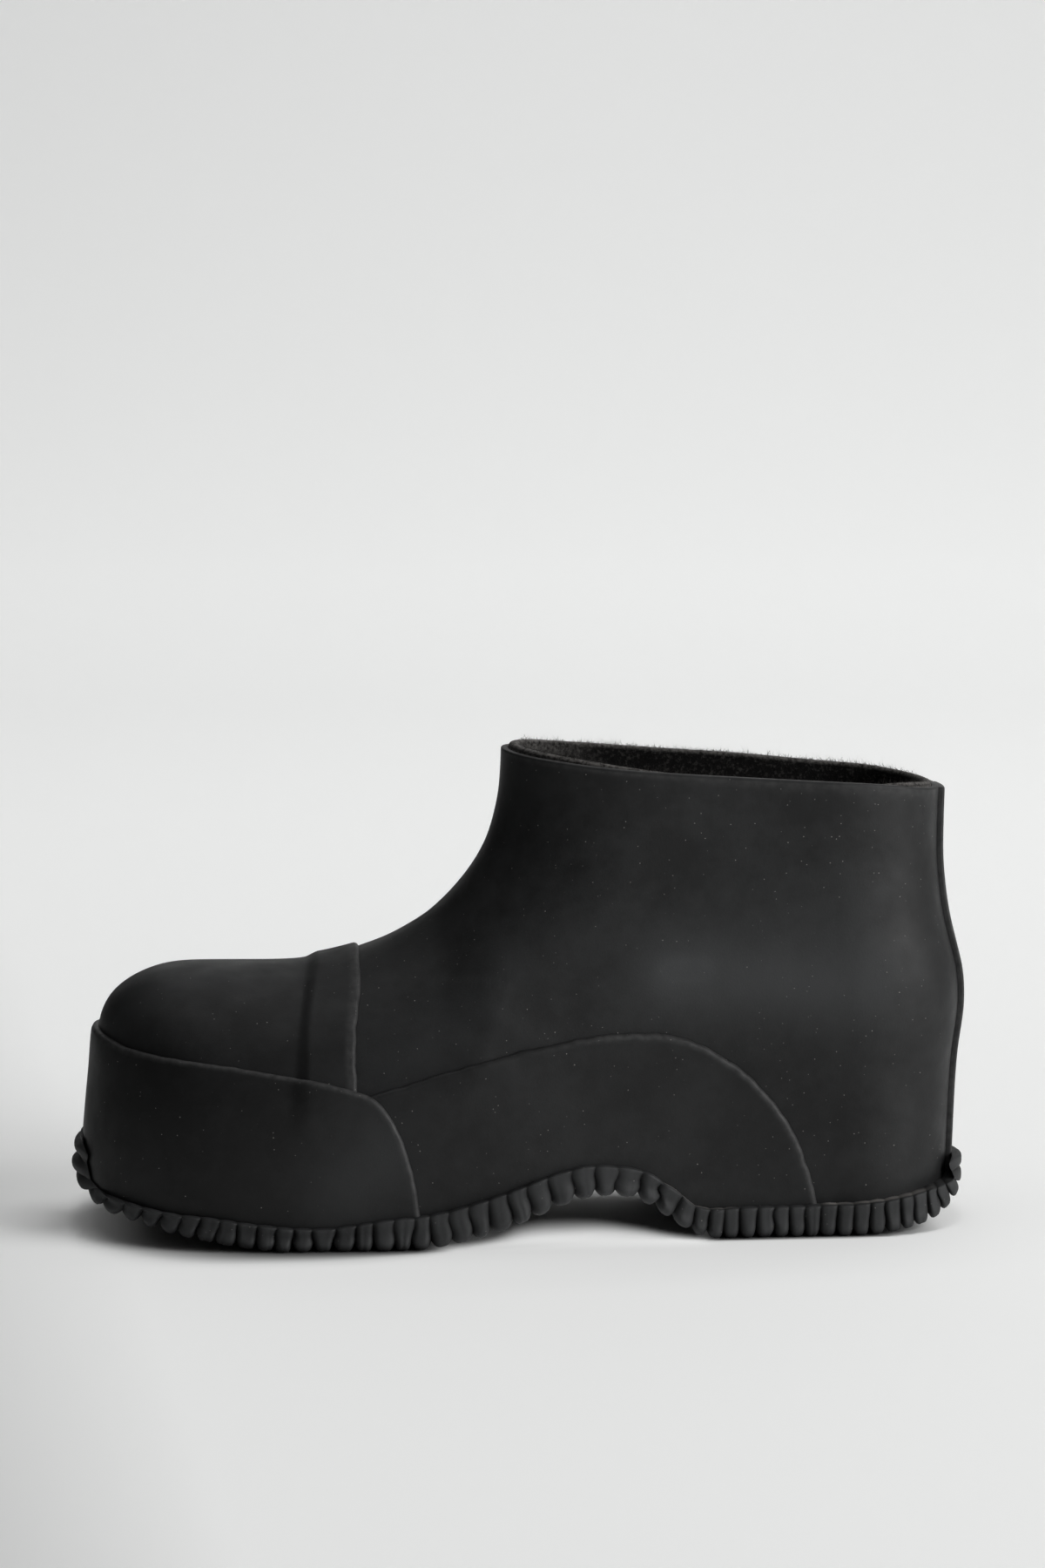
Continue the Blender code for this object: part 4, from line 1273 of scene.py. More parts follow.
@dataclass
class Slab:
    """A closed slab inside the wall, on a grid of shares along and across.

    Upper side = height along the edge - dish * (1 - a ** p), where a is the share of the way to the edge.
    """

    last: Last
    inset: float
    dish: float = 0.0
    dish_power: float = 2.5
    across: int = 31
    least_half: float = 0.4

    def add_to(self, shell: Shell, x: Array, low: Array, high: Array) -> None:
        """Adds the slab to a shell, out to an inset from the form's faces at the middle of its height.

        Args:
            shell: Shell that it is added to.
            x: Places along the boot.
            low: Heights of its under side.
            high: Heights of its upper side along its edge.
        """
        share = np.linspace(-1.0, 1.0, self.across)[None, :]
        middle = self.last.mid_line(x)
        half = []
        for side in BOTH_SIDES:
            edge = self.last.surface(x, 0.5 * (low + high), side, -self.inset)
            half.append(np.maximum(side.value * (edge[:, 1] - middle), self.least_half)[:, None])
        y = middle[:, None] + share * np.where(share < 0.0, *half)
        crown = high[:, None] - self.dish * (1.0 - np.abs(share) ** self.dish_power)
        levels = (np.broadcast_arrays(x[:, None], y, level) for level in (crown, low[:, None]))
        top, under = (shell.add(np.stack(level, axis=-1)) for level in levels)
        shell.face(top)
        shell.face(under, True)
        for end, turn in ((0, False), (-1, True)):
            shell.join(under[:, end], top[:, end], not turn)
            shell.join(under[end], top[end], turn)


@dataclass
class Insole:
    """The felt insole: a thin sheet on the footbed inside the wall, dished a little toward its middle."""

    last: Last
    name: str = "insole"
    inset: float = 3.6
    low: float = 0.3
    thick: float = 3.0
    dish: float = 0.7
    end_clear: float = 0.2
    ends: Span = (-130.0, 130.0)
    count: int = 90

    def build(self) -> Shell:
        """The sheet on the footbed, out to the wall's inner face.

        Returns:
            The closed shell.
        """
        front_z, back_z = FOOTBED.second(np.array(self.ends))
        front = float(RIDGE.first(front_z)) + self.inset + self.end_clear
        back = float(BACK.second(back_z)) - self.inset - self.end_clear
        x = part_way(front, back, swung(self.count))
        low = FOOTBED.second(x) + self.low
        shell = Shell()
        Slab(self.last, self.inset, self.dish).add_to(shell, x, low, low + self.thick)
        return shell


class RibRow:
    """The rings along the sole's line, a few to each rib, and values of the ribs read on them."""

    def __init__(self, grooves: Array, per_rib: int) -> None:
        """Numbers the rings by phase: a whole number in each groove, rising evenly over the rib.

        Args:
            grooves: Lengths along the line at which the grooves lie.
            per_rib: Number of rings to a rib.
        """
        self.count = len(grooves) - 1
        within = np.arange(per_rib)[None, :] / per_rib + np.arange(self.count)[:, None]
        self.phase = np.append(within.ravel(), float(self.count))
        self.numbers = np.arange(self.count + 1, dtype=float)
        self.run = np.interp(self.phase, self.numbers, grooves)
        self.place = (self.phase % 1.0)[:, None]
        self.groove = np.abs(2.0 * self.place - 1.0)
        self.crest = 1.0 - self.groove * self.groove
        self.rib = np.minimum(self.phase.astype(int), self.count - 1)
        self.nearest = np.minimum(np.round(self.phase).astype(int), self.count)

    def flowing(self, values: Array) -> Array:
        """Values of the grooves, running evenly from groove to groove."""
        return np.interp(self.phase, self.numbers, values)[:, None]

    def each(self, values: Array) -> Array:
        """Values of the ribs, the same over each rib."""
        return values[self.rib][:, None]

    def halves(self, values: Array) -> Array:
        """Values of the grooves, the same over the half rib on either side."""
        return values[self.nearest][:, None]


@dataclass
class Outsole:
    """The ribbed sheet wrapped up round the boot's foot, with a plain core inside the wall.

    Rings across the boot follow the sole's line. Along the line each rib swells between two grooves: groove
    depth = depth * a ** squareness, where a is 0 on the crest and 1 in the groove. The ribs were pressed by
    hand, so their pitch, depth, slant and height vary from rib to rib; each pair of spreads below is the low
    and the high end, or the mean and the deviation for slant, wave, taller and fold_stray.
    """

    last: Last
    sole: SolePath
    name: str = "outsole"
    stands_out: Outline = table_column(FOOT, 3)
    depth: float = 2.1
    top_depth: float = 0.45
    corner: float = 2.4
    lip: float = 0.6
    corner_share: Span = (0.5, 0.3)  # most of the half width for corner and lip
    least_half: float = 1.5
    hoof: float = 0.6
    hoof_place: Span = (2.0, 1.7)  # height, spread
    waist_place: Span = (0.55, 0.22)  # share of the height, spread
    lean_about: float = 0.4
    crest_rise: float = 0.25
    full_rim: float = 8.0
    end_length: float = 20.0
    end_half_width: float = 12.0
    end_widening: float = 1.7
    toe_bend: Span = (6.0, 26.0)
    heel_bend: Span = (0.5, 10.0)
    most_bend: float = 0.9
    end_depth: float = 1.5
    tip_x: float = -141.6
    heel_x: float = 141.0
    tip_reach: float = 52.9
    heel_reach: float = 41.6
    least_reach: float = 0.0004
    per_rib: int = 18
    calm: float = 0.65
    calm_span: Span = (46.0, 62.0)
    pitch_spread: Span = (0.9, 1.1)
    depth_spread: Span = (0.75, 1.25)
    slant: Span = (0.3, 0.45)
    wave: Span = (0.0, 0.28)
    swell: Span = (-0.6, 0.15)
    pinch: Span = (0.1, 0.6)
    taller: Span = (0.0, 0.12)
    lifted: Span = (0.0, 0.15)
    fold_place: Span = (0.28, 0.72)
    fold_stray: Span = (0.0, 0.06)
    fold_depth: Span = (0.0, 0.28)
    fold_width: float = 0.11
    fold_lift: float = 0.8
    fold_fade: float = 0.7
    core_inset: float = 3.3
    core_ends: Span = (16.0, 4.0)  # height, clearance
    core_count: int = 90
    core_press: float = 1.0
    under_count: int = 18
    glue_stretches: tuple[Stretch, ...] = ((40.0, 44.0, 60.0, 66.0), (90.0, 95.0, 122.0, 130.0))
    glue_across: tuple[float, ...] = (0.8, 1.0, 0.25)
    glue_patches: Span = (-0.5, 1.6)
    glue_softness: float = 5.0
    rise_shares: tuple[float, ...] = (
        0.0, 0.02, 0.06, 0.12, 0.2, 0.3, 0.4, 0.5, 0.6, 0.7, 0.8, 0.88, 0.94, 0.98, 1.0,
    )
    shelf_shares: tuple[float, ...] = (
        0.01, 0.03, 0.06, 0.1, 0.2, 0.35, 0.5, 0.65, 0.8, 0.9, 0.94, 0.97, 0.99,
    )

    def grooves(self, chance: Chance) -> Array:
        """Lengths along the line at which the grooves lie, from the pitch at each place, a little uneven.

        Args:
            chance: Source of chance.

        Returns:
            The lengths, from 0 to the line's end.
        """
        end = self.sole.run[-1]
        places = [0.0]
        while places[-1] < end:
            x = float(np.interp(places[-1], self.sole.run, self.sole.x))
            places.append(places[-1] + float(RIB_PITCH.second(x)) * float(chance.uniform(*self.pitch_spread)))
        return np.array(places) * end / places[-1]

    def rim_half_width(self, x: Array, side: Side) -> Array:
        """Half width of the rim: the foot's width and the rim's own, rounded off at both ends.

        Args:
            x: Places along the boot.
            side: Side of the boot.

        Returns:
            The half widths.
        """
        wide = self.last.foot[BOTH_SIDES.index(side)].second(x) + self.stands_out.second(x)
        share = np.ones_like(x)
        for reach in ((x - self.tip_x) / self.tip_reach, (self.heel_x - x) / self.heel_reach):
            left = 1.0 - np.clip(reach, self.least_reach, 1.0)
            share = share * rounded_off(left, self.last.corner_power)
        return wide * share

    def faces(self, row: RibRow, ends: Array, chance: Chance) -> list[Array]:
        """Outer and inner face of the ribs, from the tread's edge up to the rim's top.

        Half width = rim's half width - both quarter rounds - groove - waist - fold + hoof + swell.

        Args:
            row: Rings along the sole's line.
            ends: Lengths from the nearer end of the sheet.
            chance: Source of chance.

        Returns:
            Points for each ring and rise, one grid for each side.
        """
        x, z, rim, up_x, up_z = (part[:, None] for part in self.sole.read(row.run))
        wild = part_way(1.0, self.calm, ease(x, *self.calm_span))
        inland = np.clip(ends / self.end_length, 0.0, 1.0)
        ribs, gaps = row.count, row.count + 1
        cut = self.depth * row.halves(chance.uniform(*self.depth_spread, gaps))
        cut = cut * row.groove ** RIB_SQUARENESS.second(x)
        cut = np.where(x < 0.0, cut * part_way(self.end_depth, 1.0, inland), cut)
        slant = row.flowing(chance.normal(*self.slant, gaps)) * wild
        wave = row.flowing(chance.normal(*self.wave, gaps)) * wild
        swell = row.each(chance.uniform(*self.swell, ribs)) * row.crest * wild
        pinch = row.each(chance.uniform(*self.pinch, ribs)) * wild
        taller = row.flowing(chance.normal(*self.taller, gaps)) + self.crest_rise * row.crest
        lifted = row.each(chance.uniform(*self.lifted, ribs)) * row.crest
        fold_at = row.each(chance.uniform(*self.fold_place, ribs))
        fold_at = fold_at + row.each(chance.normal(*self.fold_stray, ribs))
        fold = row.each(chance.uniform(*self.fold_depth, ribs)) * bell(row.place - fold_at, self.fold_width)
        rim = rim + taller * np.clip(rim / self.full_rim, 0.0, 1.0)
        grown = np.clip(rim / self.full_rim, 0.0, 1.0)
        fold = fold * wild * grown
        rise = np.array(self.rise_shares)[None, :]
        high = rise * rim
        lift = high + (cut + lifted + self.fold_lift * fold) * (1.0 - rise)
        lean = (slant * (rise - self.lean_about) + wave * np.sin(2.0 * np.pi * rise)) * inland
        hoof_high, hoof_spread = self.hoof_place
        waist_high, waist_spread = self.waist_place
        bulge = self.hoof * bell(high - hoof_high, hoof_spread) * row.crest * grown + swell
        waist = pinch * bell(rise - waist_high, waist_spread) * inland + fold * (1.0 - self.fold_fade * rise)
        deep = cut * part_way(1.0, self.top_depth, rise ** 3)
        rounds = quarter_round(high, self.corner), quarter_round(rim - high, self.lip)
        at_x = x + high * up_x
        faces = []
        for side in BOTH_SIDES:
            sheet_end = self.end_half_width + self.end_widening * ends + high
            wide = np.minimum(self.rim_half_width(at_x, side), sheet_end)
            inset = sum(np.minimum(drop, most * wide) for drop, most in zip(rounds, self.corner_share))
            wide = np.maximum(wide - inset - deep - waist + bulge, self.least_half)
            y = self.last.mid_line(at_x) + side.value * wide
            faces.append(np.stack([x + lift * up_x + lean, y, z + lift * up_z], axis=-1))
        return faces

    def build(self) -> Shell:
        """The ribbed sheet as closed rings along the sole's line, and the core.

        Returns:
            The closed shell.
        """
        chance = np.random.default_rng(SEED)
        row = RibRow(self.grooves(chance), self.per_rib)
        ends = np.minimum(row.run, self.sole.run[-1] - row.run)[:, None]
        outer, inner = self.faces(row, ends, chance)
        under = part_way(outer[:, :1], inner[:, :1], gathered(self.under_count)[None, 1:-1, None])
        over = part_way(inner[:, -1:], outer[:, -1:], np.array(self.shelf_shares)[None, :, None])
        ring = np.concatenate([outer[:, ::-1], under, inner, over, outer[:, -1:]], axis=1)
        ring = self.wrapped(ring, self.sole.read(row.run)[0][:, None], ends)
        shell = Shell()
        # The groove value paints shade into the ribs' grooves; the pale value is a smear of cement.
        index = shell.add(ring, groove=row.groove ** 2, pale=self.glue(ring, chance))
        shell.face(index)
        for end, turn in ((0, False), (-1, True)):
            hub = shell.add(np.repeat(ring[end].mean(axis=0)[None], ring.shape[1], axis=0))
            shell.join(hub, index[end], turn)
        height, clear = self.core_ends
        front, back = float(RIDGE.first(height)) + clear, float(BACK.second(height)) - clear
        x = np.linspace(front, back, self.core_count)
        core = Slab(self.last, self.core_inset)
        core.add_to(shell, x, self.sole.seat(x) - self.core_press, FOOTBED.second(x))
        return shell

    def wrapped(self, ring: Array, x: Array, ends: Array) -> Array:
        """Bends the last rings round the toe and the heel.

        Moved along the boot = bend * reach * (1 - (1 - (d / w) ** p) ** (1 / p)), where d is the distance
        from the mid line, w the half width of the rim and p the corner power. The bend is 1 on the last ring
        and falls to 0.

        Args:
            ring: Points of the rings.
            x: Places of the rings.
            ends: Lengths from the nearer end of the sheet.

        Returns:
            The bent rings.
        """
        toe = x < 0.0
        full = np.where(toe, FOOT[0][1] + FOOT[0][3], FOOT[-1][1] + FOOT[-1][3])
        reach = np.where(toe, self.tip_reach, -self.heel_reach)
        away = np.abs(ring[..., 1] - self.last.mid_line(ring[..., 0])) / full
        back = reach * (1.0 - rounded_off(np.clip(away, 0.0, self.most_bend), self.last.corner_power))
        bent = ring.copy()
        bend = np.where(toe, ease(ends, *self.toe_bend), ease(ends, *self.heel_bend))
        bent[..., 0] += back * (1.0 - bend)
        return bent

    def glue(self, ring: Array, chance: Chance) -> Array:
        """Thin pale smear of cement where the rim meets the wall, on two stretches of the outer side.

        Args:
            ring: Points of the rings.
            chance: Source of chance.

        Returns:
            Strength of the smear at each point.
        """
        stretch = sum(plateau(ring[..., 0], *places) for places in self.glue_stretches)
        near_wall = np.zeros(ring.shape[1])
        near_wall[-1 - len(self.glue_across):-1] = self.glue_across
        patchy = bell_average(chance.uniform(*self.glue_patches, len(ring)), self.glue_softness)
        return np.clip(stretch * near_wall[None, :] * patchy[:, None], 0.0, 1.0)


@dataclass
class Fuzz:
    """Loose felt hairs along the collar: thin three-sided tapering threads, all in one mesh.

    Each thread is a bent line: root + way * s + droop * s * s, and its radius falls evenly to the tip.
    """

    last: Last
    lining: Lining
    name: str = "lining_fuzz"
    count: int = 3600
    span: Span = (-3.0, 131.0)
    length: Span = (0.5, 2.0)
    radius: float = 0.045
    taper: float = 0.85
    inside_share: float = 0.5
    inside_depth: float = 2.4
    top_span: Span = (0.2, 0.8)
    rooted: float = 0.1
    stray: float = 0.55
    inward: float = 0.25
    upward: float = 0.75
    droop: float = 0.45
    steps: int = 5
    around: int = 3

    def threads(self, side: Side, chance: Chance) -> tuple[Array, Array]:
        """Middle lines of the hairs on one side.

        Args:
            side: Side of the boot.
            chance: Source of chance.

        Returns:
            Points for each hair and step, and each hair's direction at its root.
        """
        lining = self.lining
        x = chance.uniform(*self.span, self.count // 2)
        inside = chance.random(len(x)) > self.inside_share
        down = -chance.exponential(self.inside_depth, len(x))
        z = lining.top_height(x, side) + np.where(inside, down, lining.rim_round)
        on_top = chance.uniform(*self.top_span, len(x)) * lining.thickness
        depth = np.where(inside, lining.thickness, on_top)
        root = self.last.surface(x, z, side, self.rooted - lining.wall - depth)
        normal = self.last.normals(x, z, self.last.half_width(x, z, side), side)
        way = chance.normal(0.0, self.stray, root.shape)
        way = way - self.inward * normal + np.array([0.0, 0.0, self.upward])
        way /= np.linalg.norm(way, axis=1, keepdims=True)
        droop = chance.normal(0.0, self.droop, root.shape)
        size = chance.uniform(*self.length, len(x))[:, None, None]
        s = np.linspace(0.0, 1.0, self.steps)[None, :, None]
        return root[:, None] + (way[:, None] * s + droop[:, None] * s ** 2) * size, way

    def build(self) -> Shell:
        """All hairs as one stack of rings.

        Returns:
            The shell of closed threads.
        """
        chance = np.random.default_rng(SEED + 1)
        shell = Shell()
        turn = np.linspace(0.0, 2.0 * np.pi, self.around + 1)[None, :, None]
        thin = self.radius * (1.0 - self.taper * np.linspace(0.0, 1.0, self.steps))
        for side in BOTH_SIDES:
            line, way = self.threads(side, chance)
            aside = np.cross(way, chance.normal(0.0, 1.0, way.shape))
            aside /= np.linalg.norm(aside, axis=1, keepdims=True)
            other = np.cross(way, aside)
            out = aside[:, None] * np.cos(turn) + other[:, None] * np.sin(turn)
            index = shell.add(line[:, :, None] + out[:, None] * thin[None, :, None, None])
            corners = (index[:, :-1, :-1], index[:, :-1, 1:], index[:, 1:, 1:], index[:, 1:, :-1])
            tip, foot = index[:, -1, :self.around], index[:, 0, :self.around]
            shell.quads.append(np.stack(corners, axis=-1).reshape(-1, 4))
            shell.quads.append(np.concatenate([tip, tip[:, -1:]], axis=1))
            shell.quads.append(np.concatenate([foot[:, ::-1], foot[:, :1]], axis=1))
        return shell


@dataclass(frozen=True)
class Grain:
    """A noise, in cells a metre, and the range that a range of its values is stretched to."""

    cells: float
    detail: float
    rough: float = 0.5
    ends: Span = (0.3, 0.7)
    to: Span = (0.0, 1.0)


class Nodes:
    """Short hand for laying out the nodes of one material."""

    def __init__(self, name: str) -> None:
        """Starts a material with an empty Principled shader.

        Args:
            name: Name of the material.
        """
        self.material = bpy.data.materials.new(name)
        self.material.use_nodes = True
        self.tree = self.material.node_tree
        self.shader = self.tree.nodes["Principled BSDF"]

    def put(self, socket: Socket, value: object) -> None:
        """Sets an input to a value, or links it to an output.

        Args:
            socket: The input.
            value: Its value, or the output socket that feeds it.
        """
        if isinstance(value, Socket):
            self.tree.links.new(value, socket)
        else:
            socket.default_value = value

    def feed(self, node: bpy.types.Node, inputs: dict[str | int, object]) -> None:
        """Sets or links inputs of a node by name or number."""
        for name, value in inputs.items():
            self.put(node.inputs[name], value)

    def add(self, kind: str, inputs: dict[str | int, object], **settings: object) -> bpy.types.Node:
        """Adds a node, sets its options, and sets or links its inputs.

        Args:
            kind: Type of the node.
            inputs: Values, or output sockets to link, by input name or number.
            settings: Options of the node itself.

        Returns:
            The node.
        """
        node = self.tree.nodes.new(kind)
        for name, value in settings.items():
            setattr(node, name, value)
        self.feed(node, inputs)
        return node

    def place(self) -> Socket:
        """Object coordinates, in metres."""
        return self.add("ShaderNodeTexCoord", {}).outputs["Object"]

    def noise(self, grain: Grain, at: Socket) -> Socket:
        """Noise value from 0 to 1."""
        inputs = {"Scale": grain.cells, "Detail": grain.detail, "Roughness": grain.rough, "Vector": at}
        return self.add("ShaderNodeTexNoise", inputs).outputs["Fac"]

    def spread(self, value: Socket, ends: Span, to: Span) -> Socket:
        """Value stretched from one range to another, and kept inside it."""
        inputs = {"Value": value, "From Min": ends[0], "From Max": ends[1], "To Min": to[0], "To Max": to[1]}
        return self.add("ShaderNodeMapRange", inputs).outputs["Result"]

    def mottle(self, grain: Grain, at: Socket) -> Socket:
        """Noise value stretched to the grain's own range."""
        return self.spread(self.noise(grain, at), grain.ends, grain.to)

    def math(self, operation: str, first: object, second: object, clamp: bool = True) -> Socket:
        """One sum, product or comparison."""
        node = self.add("ShaderNodeMath", {0: first, 1: second}, operation=operation, use_clamp=clamp)
        return node.outputs[0]

    def mix(self, share: object, first: object, second: object) -> Socket:
        """Blend of two colours by a share.

        Args:
            share: Share of the second colour.
            first: First colour.
            second: Second colour.

        Returns:
            The blended colour.
        """
        node = self.add("ShaderNodeMix", {}, data_type="RGBA")
        sockets = {socket.identifier: socket for socket in node.inputs}
        for name, value in (("Factor_Float", share), ("A_Color", first), ("B_Color", second)):
            self.put(sockets[name], value)
        return next(socket for socket in node.outputs if socket.identifier == "Result_Color")

    def value(self, name: str) -> Socket:
        """A value stored on the mesh's points."""
        node = self.add("ShaderNodeAttribute", {}, attribute_name=name, attribute_type="GEOMETRY")
        return node.outputs["Fac"]

    def bump(self, height: Socket, depth: float, under: Socket | None = None) -> Socket:
        """Bump of a height map, over another bump.

        Args:
            height: Height map.
            depth: Its depth in metres.
            under: Normal that it lies over, if any.

        Returns:
            The bumped normal.
        """
        inputs: dict[str | int, object] = {"Height": height, "Distance": depth, "Strength": 1.0}
        if under is not None:
            inputs["Normal"] = under
        return self.add("ShaderNodeBump", inputs).outputs["Normal"]


def grey(level: float, warm: float = 0.0) -> Colour:
    """Neutral colour, a little warm or, below 0, cool."""
    return (level * (1.0 + warm), level, level * (1.0 - warm), 1.0)


@dataclass(frozen=True)
class RubberFinish:
    """Matt black natural rubber: faintly bloomed, with soft lumps, fine grain, dust specks and paler cut edges.

    The cut edges are paler for scuffing and a painted highlight. Painted highlights are laid as pale patches,
    and painted shade darkens the grooves and the bottom of the boot.
    """

    name: str
    # The first two tones are the ends of the random blotches.
    shade: float = 0.0086
    bloom: float = 0.0160
    # Tone of the painted highlights and pale patches.
    highlight_and_pale_patches: float = 0.0480
    cool: float = -0.03
    # Painted shade: the colour darkens to this share toward the bottom of the boot, over the heights below, in
    # metres.
    painted_low_shade: float = 0.66
    painted_low_shade_span: Span = (0.056, 0.104)
    # Tone of the cut edges, paler for scuffing and a painted highlight.
    edge_scuff_and_highlight: float = 0.040
    # Painted shade: the colour darkens toward the deep tone by the groove value.
    groove: float = 0.45
    deep: float = 0.004
    cement: Span = (0.22, 0.06)  # level, warmth
    dust: Span = (0.20, 0.04)
    roughness: Span = (0.50, 0.64)
    specular: float = 0.26
    blotches: Grain = Grain(34.0, 3.0, ends=(0.38, 0.68))
    mottling: Grain = Grain(150.0, 4.0, 0.6, to=(-0.45, 0.55))
    edge_breakup: Grain = Grain(420.0, 2.0, to=(0.25, 0.9))
    polish: Grain = Grain(85.0, 4.0)
    lumps: Grain = Grain(46.0, 2.0)
    lump_depth: float = 0.00050
    grain: Grain = Grain(1500.0, 3.0, 0.6)
    grain_depth: float = 0.000035
    speck_cells: float = 450.0
    speck_size: float = 0.075
    speck_left_out: float = 0.2
    speck_power: float = 1.6

    def specks(self, nodes: Nodes, place: Socket) -> Socket:
        """Strength of the dust: a dot in the middle of most cells, brighter in some.

        Args:
            nodes: Nodes of the material.
            place: Object coordinates.

        Returns:
            The strength.
        """
        cells = nodes.add("ShaderNodeTexVoronoi", {"Vector": place, "Scale": self.speck_cells})
        near = nodes.math("LESS_THAN", cells.outputs["Distance"], self.speck_size)
        parts = nodes.add("ShaderNodeSeparateColor", {"Color": cells.outputs["Color"]})
        some = nodes.math("GREATER_THAN", parts.outputs["Red"], self.speck_left_out)
        strength = nodes.math("POWER", parts.outputs["Green"], self.speck_power)
        return nodes.math("MULTIPLY", nodes.math("MULTIPLY", near, some), strength)

    def build(self) -> bpy.types.Material:
        """Lays out the material on Object coordinates.

        Returns:
            The material.
        """
        nodes = Nodes(self.name)
        place = nodes.place()
        blotch = nodes.math("ADD", nodes.mottle(self.blotches, place), nodes.mottle(self.mottling, place))
        colour = nodes.mix(blotch, grey(self.shade, self.cool), grey(self.bloom, self.cool))
        # Painted highlights and pale patches.
        colour = nodes.mix(nodes.value("bloom"), colour, grey(self.highlight_and_pale_patches, self.cool))
        height = nodes.add("ShaderNodeSeparateXYZ", {"Vector": place}).outputs["Z"]
        # Painted shade toward the bottom.
        colour = nodes.mix(nodes.spread(height, self.painted_low_shade_span, (self.painted_low_shade, 1.0)), grey(0.0), colour)
        # Cut edges paler for scuffing and a painted highlight, broken up by a noise.
        edge = nodes.math("MULTIPLY", nodes.value("wear"), nodes.mottle(self.edge_breakup, place))
        colour = nodes.mix(edge, colour, grey(self.edge_scuff_and_highlight))
        # Painted shade in the ribs' grooves and on the back of the shaft.
        groove = nodes.math("MULTIPLY", nodes.value("groove"), self.groove)
        colour = nodes.mix(groove, colour, grey(self.deep))
        colour = nodes.mix(nodes.value("pale"), colour, grey(*self.cement))
        colour = nodes.mix(self.specks(nodes, place), colour, grey(*self.dust))
        rough = nodes.spread(nodes.noise(self.polish, place), self.polish.ends, self.roughness)
        lumps = nodes.bump(nodes.noise(self.lumps, place), self.lump_depth)
        grain = nodes.bump(nodes.noise(self.grain, place), self.grain_depth, lumps)
        nodes.feed(nodes.shader, {"Base Color": colour, "Roughness": rough, "Normal": grain})
        nodes.feed(nodes.shader, {"Specular IOR Level": self.specular})
        return nodes.material


@dataclass(frozen=True)
class FeltFinish:
    """Dark pressed felt: matt, mottled, with a tangled nap."""

    name: str
    shade: float = 0.0010
    fleck: float = 0.024
    # Tone of the felt where scuffed and where a painted highlight falls along the collar.
    edge: float = 0.15
    warm: Triple = (0.1, 0.06, 0.05)
    fibre: Grain = Grain(820.0, 5.0, 0.7, (0.52, 0.64))
    scuffed_and_lit_ends: Span = (0.36, 0.56)
    scuffed_and_lit_to: Span = (0.1, 0.9)
    clump: Grain = Grain(150.0, 4.0, 0.6)
    nap_depth: float = 0.0007
    fibre_share: float = 0.4
    roughness: float = 0.95
    specular: float = 0.15
    sheen: Span = (0.03, 0.6)  # weight, roughness

    def build(self) -> bpy.types.Material:
        """Lays out the material on Object coordinates.

        Returns:
            The material.
        """
        nodes = Nodes(self.name)
        place = nodes.place()
        fibre = nodes.noise(self.fibre, place)
        levels = (self.shade, self.fleck, self.edge)
        shade, fleck, edge = (grey(level, warm) for level, warm in zip(levels, self.warm))
        colour = nodes.mix(nodes.spread(fibre, self.fibre.ends, self.fibre.to), shade, fleck)
        # Paler felt where scuffed and where a painted highlight falls along the collar.
        scuffed_and_lit = nodes.spread(fibre, self.scuffed_and_lit_ends, self.scuffed_and_lit_to)
        colour = nodes.mix(nodes.math("MULTIPLY", nodes.value("wear"), scuffed_and_lit), colour, edge)
        nap = nodes.bump(nodes.noise(self.clump, place), self.nap_depth)
        nap = nodes.bump(fibre, self.fibre_share * self.nap_depth, nap)
        nodes.feed(nodes.shader, {"Base Color": colour, "Normal": nap, "Roughness": self.roughness})
        nodes.feed(nodes.shader, {"Specular IOR Level": self.specular})
        nodes.feed(nodes.shader, {"Sheen Weight": self.sheen[0], "Sheen Roughness": self.sheen[1]})
        return nodes.material


@dataclass(frozen=True)
class PaperFinish:
    """Plain pale backdrop paper that glows a little as painted light, in painted shade far out to the left.

    Near the sole it carries painted shadows.
    """

    name: str = "backdrop_paper"
    shade: Colour = (0.79, 0.795, 0.79, 1.0)
    # Painted light: the paper glows, though it is no lamp.
    glow: float = 0.36
    # Painted shade on the paper far out to the left.
    shaded: float = 0.03
    shade_span: Span = (-0.26, -0.075)
    eye_away: float = 1.7
    eye_span: Span = (0.3, 4.0)
    # The painted glow fades to this share up the wall.
    far_span: Span = (1.95, 2.8)
    far_tone: float = 0.34
    # Tone of the painted shadow where the sole meets the floor.
    contact_shadow_tone: float = 0.12
    roughness: float = 0.9
    specular: float = 0.1

    def build(self) -> bpy.types.Material:
        """Lays out the material, with painted shade by the place aside over the distance from the eye.

        Returns:
            The material.
        """
        nodes = Nodes(self.name)
        parts = nodes.add("ShaderNodeSeparateXYZ", {"Vector": nodes.place()})
        near, far = self.eye_span
        away = nodes.spread(parts.outputs["Y"], (near - self.eye_away, far), (near, far + self.eye_away))
        aside = nodes.math("DIVIDE", parts.outputs["X"], away, clamp=False)
        # Painted shade far out to the left.
        light = nodes.spread(aside, self.shade_span, (self.shaded, 1.0))
        colour = nodes.mix(light, grey(0.0), self.shade)
        # Painted shadow where the sole meets the floor.
        colour = nodes.mix(nodes.value("contact"), colour, grey(self.contact_shadow_tone))
        # Painted glow, fading up the wall and falling away in the painted shadows by the sole.
        fading = nodes.spread(parts.outputs["Y"], self.far_span, (1.0, self.far_tone))
        glow = nodes.math("MULTIPLY", nodes.value("open_air"), nodes.math("MULTIPLY", fading, self.glow))
        nodes.feed(nodes.shader, {"Base Color": colour, "Roughness": self.roughness})
        nodes.feed(nodes.shader, {"Specular IOR Level": self.specular})
        nodes.feed(nodes.shader, {"Emission Color": colour, "Emission Strength": glow})
        return nodes.material


